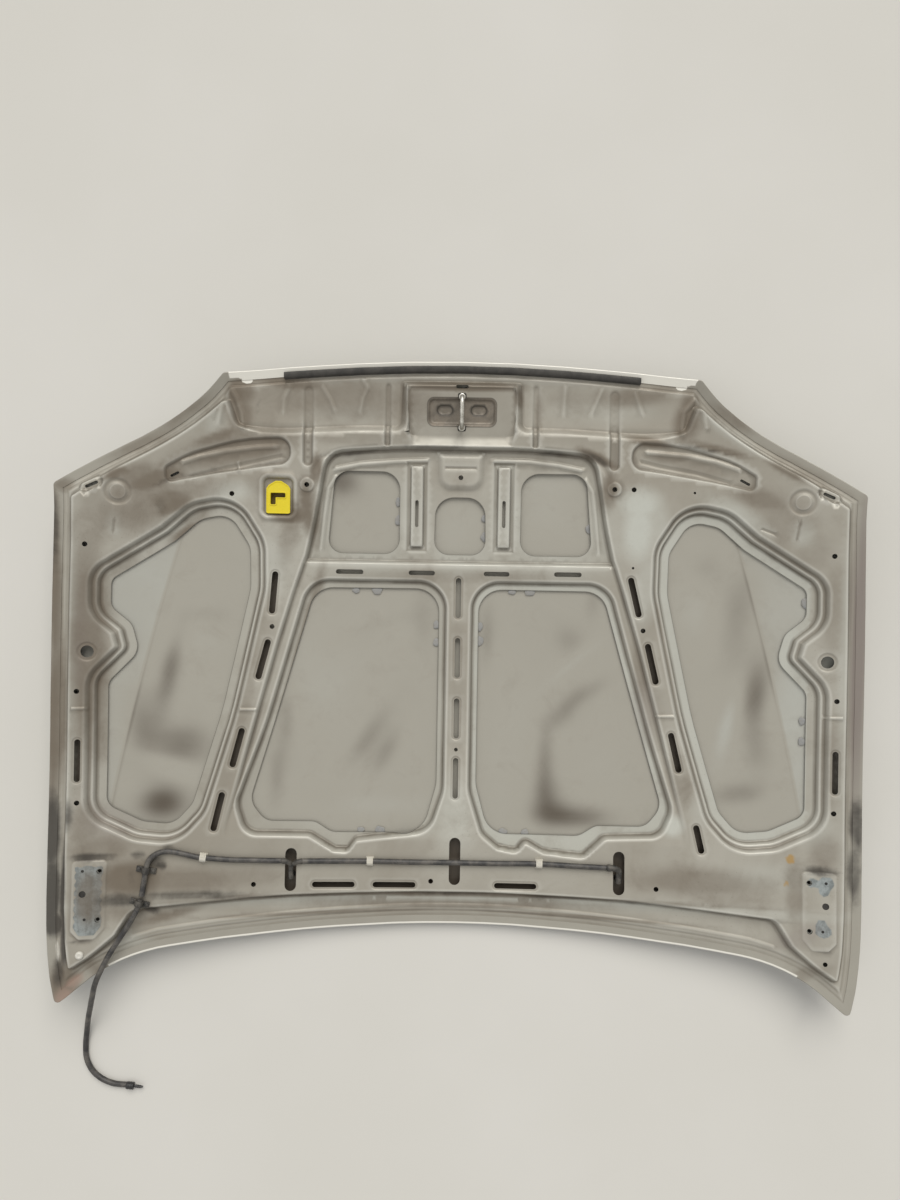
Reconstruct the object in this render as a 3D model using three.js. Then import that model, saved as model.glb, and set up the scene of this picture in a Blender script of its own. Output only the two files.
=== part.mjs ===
// Car bonnet, lying skin down with its inner side up.
// Millimetres, X across the car, Y toward the front of the car, Z up.
import * as THREE from 'three';

// Overall shape of the pressing
const BONNET_WIDTH = 1412;
const BONNET_LENGTH = 1128;
const CROWN_SIDE = 60;
const CROWN_FRONT = 31;
const CROWN_CENTRE_Y = -30;
const NOSE_START_Y = 415;
const NOSE_RUN = 145;
const NOSE_RISE = 20;
const CREASE_SLOPE = 0.1;

// Sheets, hem and fits
const SKIN_THICKNESS = 0.75;
const PANEL_THICKNESS = 0.65;
const FIT_GAP = 0.3;
const HEM_WIDTH = 15;
const FLANGE_WIDTH = 22;

// Stand-off of the inner panel's upper face above the skin's outer face
const FLANGE_END_RISE = 1.2;
const LEDGE_LEVEL = 5;
const FLOOR_LEVEL = 7.5;
const MIDDLE_LEVEL = 15;
const PLATEAU_LEVEL = 24;
const FRONT_BAND_RISE = 9;

// Pressed walls and flanges
const PLATEAU_WALL = 10;
const FLANK_WALL = 8;
const SIDE_LEDGE = 17;
const SIDE_WALL = 13;
const CENTRE_LEDGE = 9;
const CENTRE_WALL = 8;
const BEAD_DEPTH = 4;
const RIB_HEIGHT = 5;
const POCKET_DEPTH = 5;
const PAD_WALL = 3;
const HINGE_PAD_RISE = 2;

// Slots and holes
const SLOT_WIDTH = 9.6;
const ARM_SLOT_WIDTH = 10.8;
const JET_SLOT_WIDTH = 20;
const RIB_SLOT_WIDTH = 6;
const SMALL_HOLE = 8.6;
const TINY_HOLE = 4.4;
const SIDE_HOLE = 21;
const HINGE_HOLE = 9.4;
const HINGE_PIN_HOLE = 5;

// Striker and its plate
const STRIKER_ROD = 7.2;
const STRIKER_REACH = 27;
const STRIKER_SPAN = 54;
const NOTCH_WIDTH = 14;
const NOTCH_CLEAR = 1.5;
const WINDOW_WIDTH = 122;
const WINDOW_HEIGHT = 49;
const LATCH_PLATE_MARGIN = 12;
const LATCH_PLATE_THICKNESS = 1.6;
const LATCH_DISH = 5;

// Hinge reinforcements and nuts
const HINGE_PLATE_THICKNESS = 1.8;
const NUT_ACROSS = 13;
const NUT_HEIGHT = 6.5;
const NUT_BORE = 6.8;

// Washer hose, its clips and clamps
const HOSE_DIAMETER = 9.6;
const HOSE_CLEAR = 0.4;
const HOSE_LIFT = 1.6;
const CLIP_WIDTH = 15;
const CLIP_LENGTH = 20;
const CLIP_WALL = 2.2;
const CLAMP_WALL = 2;
const CLAMP_LENGTH = 34;
const CLAMP_WIDTH = 10;
const LOWER_CLAMP_LIFT = 1;
const CONNECTOR_DIAMETER = 13;
const CONNECTOR_LENGTH = 14;
const BARB_DIAMETER = 6;
const BARB_LENGTH = 16;
const JET_STEM = 9;
const JET_HEAD = 20;
const JET_HEAD_HEIGHT = 4;

// Prop socket, seal, plug and sealant
const SOCKET_WIDTH = 42;
const SOCKET_HEIGHT = 58;
const SOCKET_FLANGE = 3;
const SOCKET_BODY_DEPTH = 12;
const SOCKET_BODY_WIDTH = 32;
const SEAL_WIDTH = 11;
const SEAL_HEIGHT = 8;
const SEAL_SETBACK = 9;
const PLUG_HEAD = 14;
const PLUG_STEM = 7;
const PLUG_HEAD_HEIGHT = 5;
const BLOB_LENGTH = 16;
const BLOB_WIDTH = 12;

const SX = BONNET_WIDTH / 1412;
const SY = BONNET_LENGTH / 1128;
const HEM_INNER_GAP = PANEL_THICKNESS + 2 * FIT_GAP;
const HEM_HEIGHT = 2 * SKIN_THICKNESS + HEM_INNER_GAP;
const FOLD_INSET = SKIN_THICKNESS * 2;
const PANEL_EDGE_INSET = FOLD_INSET + PANEL_THICKNESS * 2;
const FLANGE_LEVEL = SKIN_THICKNESS + FIT_GAP + PANEL_THICKNESS;
const FLANGE_END_LEVEL = FLANGE_LEVEL + FLANGE_END_RISE;

const clamp = (v, lo, hi) => Math.min(hi, Math.max(lo, v));
const mix = (a, b, t) => a + (b - a) * t;
const at = (x, y) => [x * SX, y * SY];
const place = (corners) => corners.map(([x, y, r]) => [x * SX, y * SY, r || 0]);
const flipX = (corners) => corners.map(([x, y, r]) => [-x, y, r || 0]).reverse();

// Outer skin, seen as the height of its outer face above the floor
function creaseX(y) {
  return 562 * SX - 0.235 * y - 0.00013 * y * y;
}
function skinZ(x, y) {
  const a = Math.abs(x) / (BONNET_WIDTH / 2);
  const b = (y - CROWN_CENTRE_Y) / (BONNET_LENGTH / 2);
  const nose = clamp((y - NOSE_START_Y) / NOSE_RUN, 0, 2);
  const beyond = Math.max(0, Math.abs(x) - creaseX(y));
  return CROWN_SIDE * a * a + CROWN_FRONT * b * b + NOSE_RISE * nose * nose + CREASE_SLOPE * beyond;
}

// Plan outlines are corner lists: x, y and a corner radius
const OUTLINE_RIGHT = [
  [683, -566, 7], [691, -537, 0], [698, -495, 0], [703, -440, 0], [705, -380, 0], [706, -300, 0],
  [706, -165, 0], [706, -30, 0], [705, 60, 0], [703, 145, 0], [700, 230, 0], [697, 305, 0], [698, 333, 9],
  [670, 352, 0], [625, 380, 0], [582, 405, 0], [541, 428, 0], [502, 455, 0], [472, 478, 0],
  [444, 503, 0], [417, 534, 12], [365, 539, 0], [302, 546, 0], [245, 551, 0], [180, 556, 0], [92, 560.5, 0],
];
const OUTLINE_REAR = [
  [0, -438, 0], [52, -438.5, 0], [105, -440, 0], [158, -443, 0], [212, -446, 0], [267, -450, 0],
  [316, -454.5, 0], [365, -459.5, 0], [412, -464, 0], [460, -470, 0], [521, -478, 0], [560, -488, 0],
  [597, -503, 0], [630, -523, 0], [655, -545, 0],
];
const PLATEAU_RIGHT = [
  [60, -384, 0], [180, -387, 0], [300, -391, 0], [385, -397, 0], [470, -404, 0], [556, -411, 20],
  [581, -452, 20], [626, -490, 0], [664, -512, 10], [672, -470, 0], [675, -440, 0], [678, -380, 0],
  [679, -300, 0], [679, -165, 0], [679, -30, 0], [678, 60, 0], [676, 145, 0], [673, 230, 0],
  [671, 313, 12], [613, 357, 0], [570, 382, 0], [529, 406, 0], [490, 432, 0], [458, 456, 0], [420, 489, 0],
  [404, 490, 6], [389, 446, 16], [322, 442, 0], [250, 447, 0], [180, 451, 0], [110, 452, 8],
  [107, 529, 8], [50, 530, 0],
];
const LOW_RIGHT = [
  [330, -299, 0], [403, -290, 20], [402, -262, 0], [387, -205, 0], [372, -145, 0], [357, -86, 0], [336, -8, 0],
  [315, 70, 0], [291, 150, 0], [273, 205, 0], [269, 214, 0], [255, 275, 0], [243, 345, 0], [233, 398, 38],
  [110, 408, 0],
];
const SIDE_OPENING = [
  [373, 160, 90], [420, -60, 0], [468, -226, 38], [500, -262, 36], [552, -256, 46], [613, -226, 26],
  [613, -10, 26], [563, 44, 34], [575, 92, 30], [609, 122, 24], [608, 170, 18], [503, 240, 26], [460, 279, 40],
  [410, 290, 36], [374, 232, 40],
];
const BIG_OPENING = [
  [36, 163, 42], [36, -190, 70], [60, -277, 44], [222, -277, 30], [252, -258, 28], [340, -257, 30],
  [368, -222, 34], [326, -77, 0], [258, 162, 42],
];
const UPPER_OPENING = [
  [109, 371, 32], [109, 225, 27], [237, 225, 25], [224, 371, 28],
];
const MIDDLE_OPENING = [
  [-44, 327, 33], [-46, 225, 26], [46, 225, 26], [44, 327, 33],
];
const SAUSAGE_POCKET = [
  [300, 428, 24], [297, 377, 24], [345, 371, 0], [452, 352, 0], [516, 336, 14], [517, 368, 12], [475, 395, 0],
  [385, 423, 0],
];
const HINGE_PAD = [
  [604.5, -320, 5], [604.5, -432, 5], [619, -449, 6], [643, -449, 6], [655, -436, 6], [656, -320, 5],
];
const TAB_BOSS = [
  [-44, 402, 4], [-42, 340, 12], [42, 340, 12], [44, 402, 4],
];
const SOCKET_POCKET = [
  [-350, 356, 12], [-350, 286, 12], [-294, 286, 12], [-294, 356, 12],
];

// Corner list to a polyline with arcs at the corners
function roundCorners(corners, stepDegrees, longest) {
  const n = corners.length;
  const out = [];
  for (let i = 0; i < n; i += 1) {
    const [px, py] = corners[(i + n - 1) % n];
    const [x, y, r] = corners[i];
    const [qx, qy] = corners[(i + 1) % n];
    const lp = Math.hypot(px - x, py - y);
    const lq = Math.hypot(qx - x, qy - y);
    const ux = (px - x) / lp;
    const uy = (py - y) / lp;
    const vx = (qx - x) / lq;
    const vy = (qy - y) / lq;
    const turn = Math.PI - Math.acos(clamp(ux * vx + uy * vy, -1, 1));
    if (!r || turn < 0.05) {
      out.push([x, y]);
      continue;
    }
    const cut = Math.min(r * Math.tan(turn / 2), 0.48 * lp, 0.48 * lq);
    const radius = cut / Math.tan(turn / 2);
    const reach = radius / Math.cos(turn / 2);
    const bx = ux + vx;
    const by = uy + vy;
    const bl = Math.hypot(bx, by);
    const cx = x + (bx / bl) * reach;
    const cy = y + (by / bl) * reach;
    const a0 = Math.atan2(y + uy * cut - cy, x + ux * cut - cx);
    let sweep = Math.atan2(y + vy * cut - cy, x + vx * cut - cx) - a0;
    while (sweep > Math.PI) sweep -= 2 * Math.PI;
    while (sweep < -Math.PI) sweep += 2 * Math.PI;
    const steps = Math.max(1, Math.ceil(Math.abs(sweep) / THREE.MathUtils.degToRad(stepDegrees)));
    for (let k = 0; k <= steps; k += 1) {
      const a = a0 + (sweep * k) / steps;
      out.push([cx + radius * Math.cos(a), cy + radius * Math.sin(a)]);
    }
  }
  const split = [];
  for (let i = 0; i < out.length; i += 1) {
    const p = out[i];
    const q = out[(i + 1) % out.length];
    const parts = Math.max(1, Math.ceil(Math.hypot(q[0] - p[0], q[1] - p[1]) / longest));
    for (let k = 0; k < parts; k += 1) {
      split.push([mix(p[0], q[0], k / parts), mix(p[1], q[1], k / parts)]);
    }
  }
  return anticlockwise(split);
}
function area(poly) {
  let s = 0;
  for (let i = 0; i < poly.length; i += 1) {
    const q = poly[(i + 1) % poly.length];
    s += poly[i][0] * q[1] - q[0] * poly[i][1];
  }
  return s / 2;
}
function anticlockwise(poly) {
  return area(poly) < 0 ? poly.slice().reverse() : poly;
}
function mirror(poly) {
  return poly.map(([x, y]) => [-x, y]).reverse();
}
function disc(cx, cy, radius, sides) {
  const out = [];
  for (let k = 0; k < sides; k += 1) {
    const a = (2 * Math.PI * (k + 0.5)) / sides;
    out.push([cx + radius * Math.cos(a), cy + radius * Math.sin(a)]);
  }
  return out;
}
function slot(x0, y0, x1, y1, width) {
  const a0 = Math.atan2(y1 - y0, x1 - x0);
  const r = width / 2;
  const length = Math.hypot(x1 - x0, y1 - y0);
  const cx = (x1 - x0) / length;
  const cy = (y1 - y0) / length;
  const out = [];
  for (let k = 0; k <= 3; k += 1) {
    const a = a0 - Math.PI / 2 + (Math.PI * k) / 3;
    out.push([x1 - cx * r + r * Math.cos(a), y1 - cy * r + r * Math.sin(a)]);
  }
  for (let k = 0; k <= 3; k += 1) {
    const a = a0 + Math.PI / 2 + (Math.PI * k) / 3;
    out.push([x0 + cx * r + r * Math.cos(a), y0 + cy * r + r * Math.sin(a)]);
  }
  return out;
}

// Offsets a ring inward, or outward for a negative distance, and tells where each corner went
function offsetRing(poly, distance) {
  const n = poly.length;
  let edges = poly.map((p, i) => {
    const q = poly[(i + 1) % n];
    const length = Math.hypot(q[0] - p[0], q[1] - p[1]);
    const dx = (q[0] - p[0]) / length;
    const dy = (q[1] - p[1]) / length;
    return { i, dx, dy, x: p[0] - dy * distance, y: p[1] + dx * distance };
  });
  let corners = [];
  for (let round = 0; round < n; round += 1) {
    corners = edges.map((e, k) => {
      const f = edges[(k + edges.length - 1) % edges.length];
      const cross = f.dx * e.dy - f.dy * e.dx;
      if (Math.abs(cross) < 1e-4) return [e.x, e.y];
      const t = ((e.x - f.x) * e.dy - (e.y - f.y) * e.dx) / cross;
      return [f.x + f.dx * t, f.y + f.dy * t];
    });
    let worst = -1e-6;
    let worstAt = -1;
    edges.forEach((e, k) => {
      const p = corners[k];
      const q = corners[(k + 1) % edges.length];
      const run = (q[0] - p[0]) * e.dx + (q[1] - p[1]) * e.dy;
      if (run < worst) {
        worst = run;
        worstAt = k;
      }
    });
    if (worstAt < 0) break;
    edges = edges.filter((e, k) => k !== worstAt);
  }
  const to = poly.map((p, i) => {
    const k = edges.findIndex((e) => e.i >= i);
    return k < 0 ? 0 : k;
  });
  return { ring: corners, to };
}

// Distances in plan
function segmentDistance(x, y, p, q) {
  const dx = q[0] - p[0];
  const dy = q[1] - p[1];
  const t = clamp(((x - p[0]) * dx + (y - p[1]) * dy) / (dx * dx + dy * dy), 0, 1);
  return Math.hypot(x - p[0] - dx * t, y - p[1] - dy * t);
}
function inside(x, y, poly) {
  let odd = false;
  for (let i = 0, j = poly.length - 1; i < poly.length; j = i, i += 1) {
    const [xi, yi] = poly[i];
    const [xj, yj] = poly[j];
    if (yi > y !== yj > y && x < ((xj - xi) * (y - yi)) / (yj - yi) + xi) odd = !odd;
  }
  return odd;
}
function depthInside(x, y, poly) {
  let best = Infinity;
  for (let i = 0; i < poly.length; i += 1) {
    best = Math.min(best, segmentDistance(x, y, poly[i], poly[(i + 1) % poly.length]));
  }
  return inside(x, y, poly) ? best : -best;
}

// The rings of the pressing
const outlineRight = place(OUTLINE_RIGHT);
const outlineCorners = [
  ...place(OUTLINE_REAR),
  ...outlineRight,
  [0, 562 * SY, 0],
  ...flipX(outlineRight),
  ...flipX(place(OUTLINE_REAR).slice(1)),
];
const EDGE = roundCorners(outlineCorners, 50, 400);
const foldOffset = offsetRing(EDGE, FOLD_INSET);
const FOLD = foldOffset.ring;
const panelEdgeOffset = offsetRing(FOLD, PANEL_EDGE_INSET - FOLD_INSET);
const PANEL_EDGE = panelEdgeOffset.ring;
const hemOffset = offsetRing(PANEL_EDGE, HEM_WIDTH - PANEL_EDGE_INSET);
const HEM_END = hemOffset.ring;
const flangeOffset = offsetRing(HEM_END, FLANGE_WIDTH - HEM_WIDTH);
const FLANGE_END = flangeOffset.ring;

const PLATEAU = anticlockwise(roundCorners([...place(PLATEAU_RIGHT), ...flipX(place(PLATEAU_RIGHT))], 45, 130));
const LOW = roundCorners([...place(LOW_RIGHT), ...flipX(place(LOW_RIGHT))], 30, 130);
const SIDE = roundCorners(place(SIDE_OPENING), 38, 70);
const BIG = roundCorners(place(BIG_OPENING), 34, 95);
const UPPER = roundCorners(place(UPPER_OPENING), 34, 90);
const MIDDLE = roundCorners(place(MIDDLE_OPENING), 34, 90);
const SAUSAGE = roundCorners(place(SAUSAGE_POCKET), 45, 120);
const HINGE = roundCorners(place(HINGE_PAD), 90, 200);
const TAB = roundCorners(place(TAB_BOSS), 60, 200);
const SOCKET_RECESS = roundCorners(place(SOCKET_POCKET), 60, 200);
const SIDES = [SIDE, mirror(SIDE)];
const BIGS = [BIG, mirror(BIG)];
const UPPERS = [UPPER, mirror(UPPER), MIDDLE];
const SAUSAGES = [SAUSAGE, mirror(SAUSAGE)];
const HINGES = [HINGE, mirror(HINGE)];

const STEP_TOP_Y = 205 * SY;
const STEP_FOOT_Y = 214 * SY;
const LATCH_Y = 475 * SY;
const LATCH_PAD_HALF_X = 93 * SX;
const LATCH_PAD_HALF_Y = 39 * SY;
const NOTCH_REACH = STRIKER_SPAN / 2 + STRIKER_ROD / 2 + NOTCH_CLEAR;
const SOCKET_AT = at(-322, 320);
const BUMP_PADS = [at(590, 321), at(-590, 321)];
const BUMP_PAD_RADIUS = 19;
const BUMP_CORE_RADIUS = 11;
const BOSSES = [at(272, 343), at(-272, 343)];
const BOSS_RADIUS = 14.5;
const BOSS_RISE = 2;
const SIDE_HOLES = [at(639, 46), at(-641, 44)];
const SIDE_COLLAR = 18;
const RIB_X = 78 * SX;
const RIB_HALF = 13;
const RIB_ENDS = [236 * SY, 384 * SY];
const BEADS = [
  [271, 380, 271, 428, 19], [-271, 380, -271, 428, 19],
  [271, 456, 268, 516, 17], [-271, 456, -270, 516, 17],
  [131, 462, 131, 526, 13], [-131, 462, -131, 526, 13],
];
const BEAD_RINGS = BEADS.map(([x0, y0, x1, y1, w]) => slot(...at(x0, y0), ...at(x1, y1), w));

function hingePlane(x, y, side) {
  const cx = side * 632 * SX;
  const cy = -384 * SY;
  const slopeX = (skinZ(cx + 20, cy) - skinZ(cx - 20, cy)) / 40;
  const slopeY = (skinZ(cx, cy + 60) - skinZ(cx, cy - 60)) / 120;
  const base = skinZ(cx, cy) + PLATEAU_LEVEL + HINGE_PAD_RISE + 0.6;
  return base + slopeX * (x - cx) + slopeY * (y - cy);
}
function frontBand(y) {
  return LEDGE_LEVEL + FRONT_BAND_RISE * clamp((524 * SY - y) / (75 * SY), 0, 1);
}
function lowLevel(y) {
  if (y > STEP_FOOT_Y - 0.5) return FLOOR_LEVEL;
  const rise = clamp((-120 * SY - y) / (165 * SY), 0, 1);
  return mix(MIDDLE_LEVEL, PLATEAU_LEVEL, rise);
}

// Stand-off of the inner panel at a point in plan
function standOff(x, y) {
  const inPlateau = clamp(depthInside(x, y, PLATEAU) / PLATEAU_WALL, 0, 1);
  const skirt = y > 430 * SY && Math.abs(x) < 410 * SX ? frontBand(y) : LEDGE_LEVEL;
  let h = mix(skirt, PLATEAU_LEVEL, inPlateau);
  const inLow = clamp(-depthInside(x, y, LOW) / FLANK_WALL, 0, 1);
  if (inLow < 1) h = mix(lowLevel(y), h, inLow);
  for (const poly of SIDES) {
    const d = -depthInside(x, y, poly) - SIDE_LEDGE;
    if (d < SIDE_WALL) h = mix(LEDGE_LEVEL, h, clamp(d / SIDE_WALL, 0, 1));
  }
  for (const poly of BIGS) {
    const d = -depthInside(x, y, poly) - CENTRE_LEDGE;
    if (d < CENTRE_WALL) h = mix(LEDGE_LEVEL, h, clamp(d / CENTRE_WALL, 0, 1));
  }
  for (const poly of SAUSAGES) {
    const d = depthInside(x, y, poly);
    if (d > 0) h -= POCKET_DEPTH * clamp(d / 6, 0, 1);
  }
  for (const poly of BEAD_RINGS) {
    const d = depthInside(x, y, poly);
    const sign = y > 440 * SY ? 1 : -1;
    if (d > 0) h += sign * BEAD_DEPTH * clamp(d / 5, 0, 1);
  }
  for (const [cx, cy] of BOSSES) {
    const d = Math.hypot(x - cx, y - cy);
    if (d < BOSS_RADIUS) h += BOSS_RISE * clamp((BOSS_RADIUS - d) / 4, 0, 1);
  }
  for (const [cx, cy] of BUMP_PADS) {
    const d = Math.hypot(x - cx, y - cy);
    if (d < BUMP_PAD_RADIUS + 6) h -= 3 * clamp((BUMP_PAD_RADIUS + 6 - d) / 6, 0, 1);
    if (d < BUMP_CORE_RADIUS + 0.5) h += 1.5;
  }
  const inTab = depthInside(x, y, TAB);
  if (inTab > 0) h += RIB_HEIGHT * clamp(inTab / 5, 0, 1);
  const inRecess = depthInside(x, y, SOCKET_RECESS);
  if (inRecess > 0) h -= BEAD_DEPTH * clamp(inRecess / 5, 0, 1);
  const ribX = Math.min(Math.abs(x - RIB_X), Math.abs(x + RIB_X));
  if (ribX < RIB_HALF && y > RIB_ENDS[0] && y < RIB_ENDS[1]) {
    const inRib = Math.min(RIB_HALF - ribX, y - RIB_ENDS[0], RIB_ENDS[1] - y);
    h += RIB_HEIGHT * clamp(inRib / 4, 0, 1);
  }
  return h;
}
function panelTarget(x, y) {
  for (const side of [1, -1]) {
    const d = depthInside(x, y, side > 0 ? HINGES[0] : HINGES[1]);
    if (d > -0.01) return hingePlane(x, y, side);
  }
  const onPad = Math.abs(x) < LATCH_PAD_HALF_X + 0.5 && Math.abs(y - LATCH_Y) < LATCH_PAD_HALF_Y + 0.5;
  if (onPad) return latchPlane(y);
  return skinZ(x, y) + standOff(x, y);
}
function latchPlane(y) {
  const slope = (skinZ(0, LATCH_Y + 30) - skinZ(0, LATCH_Y - 30)) / 60;
  return skinZ(0, LATCH_Y) + PLATEAU_LEVEL - 4 + slope * (y - LATCH_Y);
}

// Triangulation of a plan region with fixed edges
function triangulate(points, fixed, keep) {
  const jitter = (i, k) => (((i * 7919 + k * 104729) % 1009) / 1009 - 0.5) * 2e-4;
  const P = points.map((p, i) => [p[0] + jitter(i, 1), p[1] + jitter(i, 2)]);
  const n = P.length;
  P.push([-9000, -7000], [9000, -7000], [0, 12000]);
  const N = P.length;
  const cross = (a, b, c) => (P[b][0] - P[a][0]) * (P[c][1] - P[a][1])
    - (P[b][1] - P[a][1]) * (P[c][0] - P[a][0]);
  const inCircle = (a, b, c, d) => {
    const ax = P[a][0] - P[d][0];
    const ay = P[a][1] - P[d][1];
    const bx = P[b][0] - P[d][0];
    const by = P[b][1] - P[d][1];
    const cx = P[c][0] - P[d][0];
    const cy = P[c][1] - P[d][1];
    const a2 = ax * ax + ay * ay;
    const b2 = bx * bx + by * by;
    const c2 = cx * cx + cy * cy;
    return ax * (by * c2 - b2 * cy) - ay * (bx * c2 - b2 * cx) + a2 * (bx * cy - by * cx) > 0;
  };
  let tris = [[n, n + 1, n + 2]];
  for (let i = 0; i < n; i += 1) {
    const border = new Map();
    const good = [];
    for (const t of tris) {
      if (inCircle(t[0], t[1], t[2], i)) {
        for (let k = 0; k < 3; k += 1) {
          const a = t[k];
          const b = t[(k + 1) % 3];
          if (border.has(b * N + a)) border.delete(b * N + a);
          else border.set(a * N + b, [a, b]);
        }
      } else good.push(t);
    }
    for (const [a, b] of border.values()) good.push([a, b, i]);
    tris = good;
  }
  const edge = new Map();
  const link = (t, k) => {
    for (let s = 0; s < 3; s += 1) edge.set(t[s] * N + t[(s + 1) % 3], k);
  };
  const unlink = (t) => {
    for (let s = 0; s < 3; s += 1) edge.delete(t[s] * N + t[(s + 1) % 3]);
  };
  tris.forEach(link);
  const apex = (t, a, b) => t.find((v) => v !== a && v !== b);
  const locked = new Set();
  const flip = (a, b) => {
    const k1 = edge.get(a * N + b);
    const k2 = edge.get(b * N + a);
    const c = apex(tris[k1], a, b);
    const d = apex(tris[k2], a, b);
    unlink(tris[k1]);
    unlink(tris[k2]);
    tris[k1] = [a, d, c];
    tris[k2] = [d, b, c];
    link(tris[k1], k1);
    link(tris[k2], k2);
    return [c, d];
  };
  const convex = (a, b) => {
    const c = apex(tris[edge.get(a * N + b)], a, b);
    const d = apex(tris[edge.get(b * N + a)], a, b);
    return cross(c, a, d) > 0 && cross(d, b, c) > 0;
  };
  for (const [a, b] of fixed) {
    for (let guard = 0; guard < 400; guard += 1) {
      if (edge.has(a * N + b) || edge.has(b * N + a)) break;
      let flipped = false;
      for (const key of Array.from(edge.keys())) {
        const u = Math.floor(key / N);
        const v = key % N;
        if (u > v || !edge.has(key) || !edge.has(v * N + u) || locked.has(key)) continue;
        if (u === a || v === a || u === b || v === b) continue;
        if (cross(a, b, u) * cross(a, b, v) >= 0 || cross(u, v, a) * cross(u, v, b) >= 0) continue;
        if (!convex(u, v)) continue;
        flip(u, v);
        flipped = true;
        if (edge.has(a * N + b) || edge.has(b * N + a)) break;
      }
      if (!flipped) break;
    }
    locked.add(Math.min(a, b) * N + Math.max(a, b));
  }
  for (let round = 0; round < 30; round += 1) {
    let count = 0;
    for (const key of Array.from(edge.keys())) {
      const u = Math.floor(key / N);
      const v = key % N;
      if (u > v || locked.has(key) || !edge.has(key) || !edge.has(v * N + u)) continue;
      const c = apex(tris[edge.get(key)], u, v);
      const d = apex(tris[edge.get(v * N + u)], u, v);
      if (inCircle(u, v, c, d) && convex(u, v)) {
        flip(u, v);
        count += 1;
      }
    }
    if (!count) break;
  }
  return tris.filter((t) => {
    if (t[0] >= n || t[1] >= n || t[2] >= n) return false;
    const x = (P[t[0]][0] + P[t[1]][0] + P[t[2]][0]) / 3;
    const y = (P[t[0]][1] + P[t[1]][1] + P[t[2]][1]) / 3;
    return keep(x, y);
  });
}

// A pressed sheet in the making: plan points, face triangles and their rings
class Sheet {
  constructor() {
    this.points = [];
    this.tris = [];
  }

  ring(poly) {
    const first = this.points.length;
    poly.forEach((p) => this.points.push([p[0], p[1]]));
    return poly.map((p, i) => first + i);
  }

  strip(outer, inner, to) {
    for (let i = 0; i < outer.length; i += 1) {
      const j = (i + 1) % outer.length;
      const a = outer[i];
      const b = outer[j];
      const c = inner[to[j]];
      const d = inner[to[i]];
      this.tris.push([a, b, c]);
      if (c !== d) this.tris.push([a, c, d]);
    }
  }

  region(outerRing, holes, lines, loose) {
    const local = [];
    const index = [];
    const fixed = [];
    const addRing = (ids, closed) => {
      const start = local.length;
      ids.forEach((id) => {
        local.push(this.points[id]);
        index.push(id);
      });
      for (let i = 0; i + (closed ? 0 : 1) < ids.length; i += 1) {
        fixed.push([start + i, start + ((i + 1) % ids.length)]);
      }
    };
    addRing(outerRing, true);
    holes.forEach((ids) => addRing(ids, true));
    lines.forEach(({ ids, closed }) => addRing(ids, closed));
    loose.forEach((id) => {
      local.push(this.points[id]);
      index.push(id);
    });
    const limit = outerRing.map((id) => this.points[id]);
    const gone = holes.map((ids) => ids.map((id) => this.points[id]));
    const keep = (x, y) => inside(x, y, limit) && !gone.some((poly) => inside(x, y, poly));
    triangulate(local, fixed, keep).forEach((t) => {
      this.tris.push([index[t[0]], index[t[1]], index[t[2]]]);
    });
  }
}

// Loose plan points on a staggered grid, clear of everything already drawn
function gridPoints(spacing, limit, taken, clear) {
  const out = [];
  const rows = Math.ceil(BONNET_LENGTH / spacing / 0.86);
  const columns = Math.ceil(BONNET_WIDTH / spacing);
  for (let r = -rows; r <= rows; r += 1) {
    for (let c = -columns; c <= columns; c += 1) {
      const x = (c + (Math.abs(r) % 2) * 0.5) * spacing * 0.5;
      const y = r * spacing * 0.43;
      if (Math.abs(x / spacing / 0.5 - Math.round(x / spacing / 0.5)) > 0.49 && r % 2 === 0) continue;
      if ((c + r) % 2) continue;
      if (depthInside(x, y, limit) < clear) continue;
      if (taken.some((p) => Math.hypot(p[0] - x, p[1] - y) < clear)) continue;
      out.push([x, y]);
    }
  }
  return out;
}

// Closed body from a face, its heights, and the same face moved back by the sheet's thickness
function sheetBody(points, tris, heights, backs) {
  const position = [];
  points.forEach((p, i) => position.push(p[0], p[1], heights[i]));
  backs.forEach((b) => position.push(b[0], b[1], b[2]));
  const n = points.length;
  const index = [];
  const edges = new Set();
  tris.forEach((t) => {
    for (let k = 0; k < 3; k += 1) edges.add(`${t[k]}_${t[(k + 1) % 3]}`);
  });
  tris.forEach(([a, b, c]) => {
    index.push(a, b, c, c + n, b + n, a + n);
    for (const [u, v] of [[a, b], [b, c], [c, a]]) {
      if (!edges.has(`${v}_${u}`)) index.push(v, u, u + n, v, u + n, v + n);
    }
  });
  return geometryFrom(position, index);
}
function geometryFrom(position, index) {
  const g = new THREE.BufferGeometry();
  const used = new Map();
  const packed = [];
  const remapped = index.map((i) => {
    if (!used.has(i)) {
      used.set(i, used.size);
      packed.push(position[i * 3], position[i * 3 + 1], position[i * 3 + 2]);
    }
    return used.get(i);
  });
  g.setAttribute('position', new THREE.Float32BufferAttribute(packed, 3));
  g.setIndex(remapped);
  g.computeVertexNormals();
  return g;
}
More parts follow.
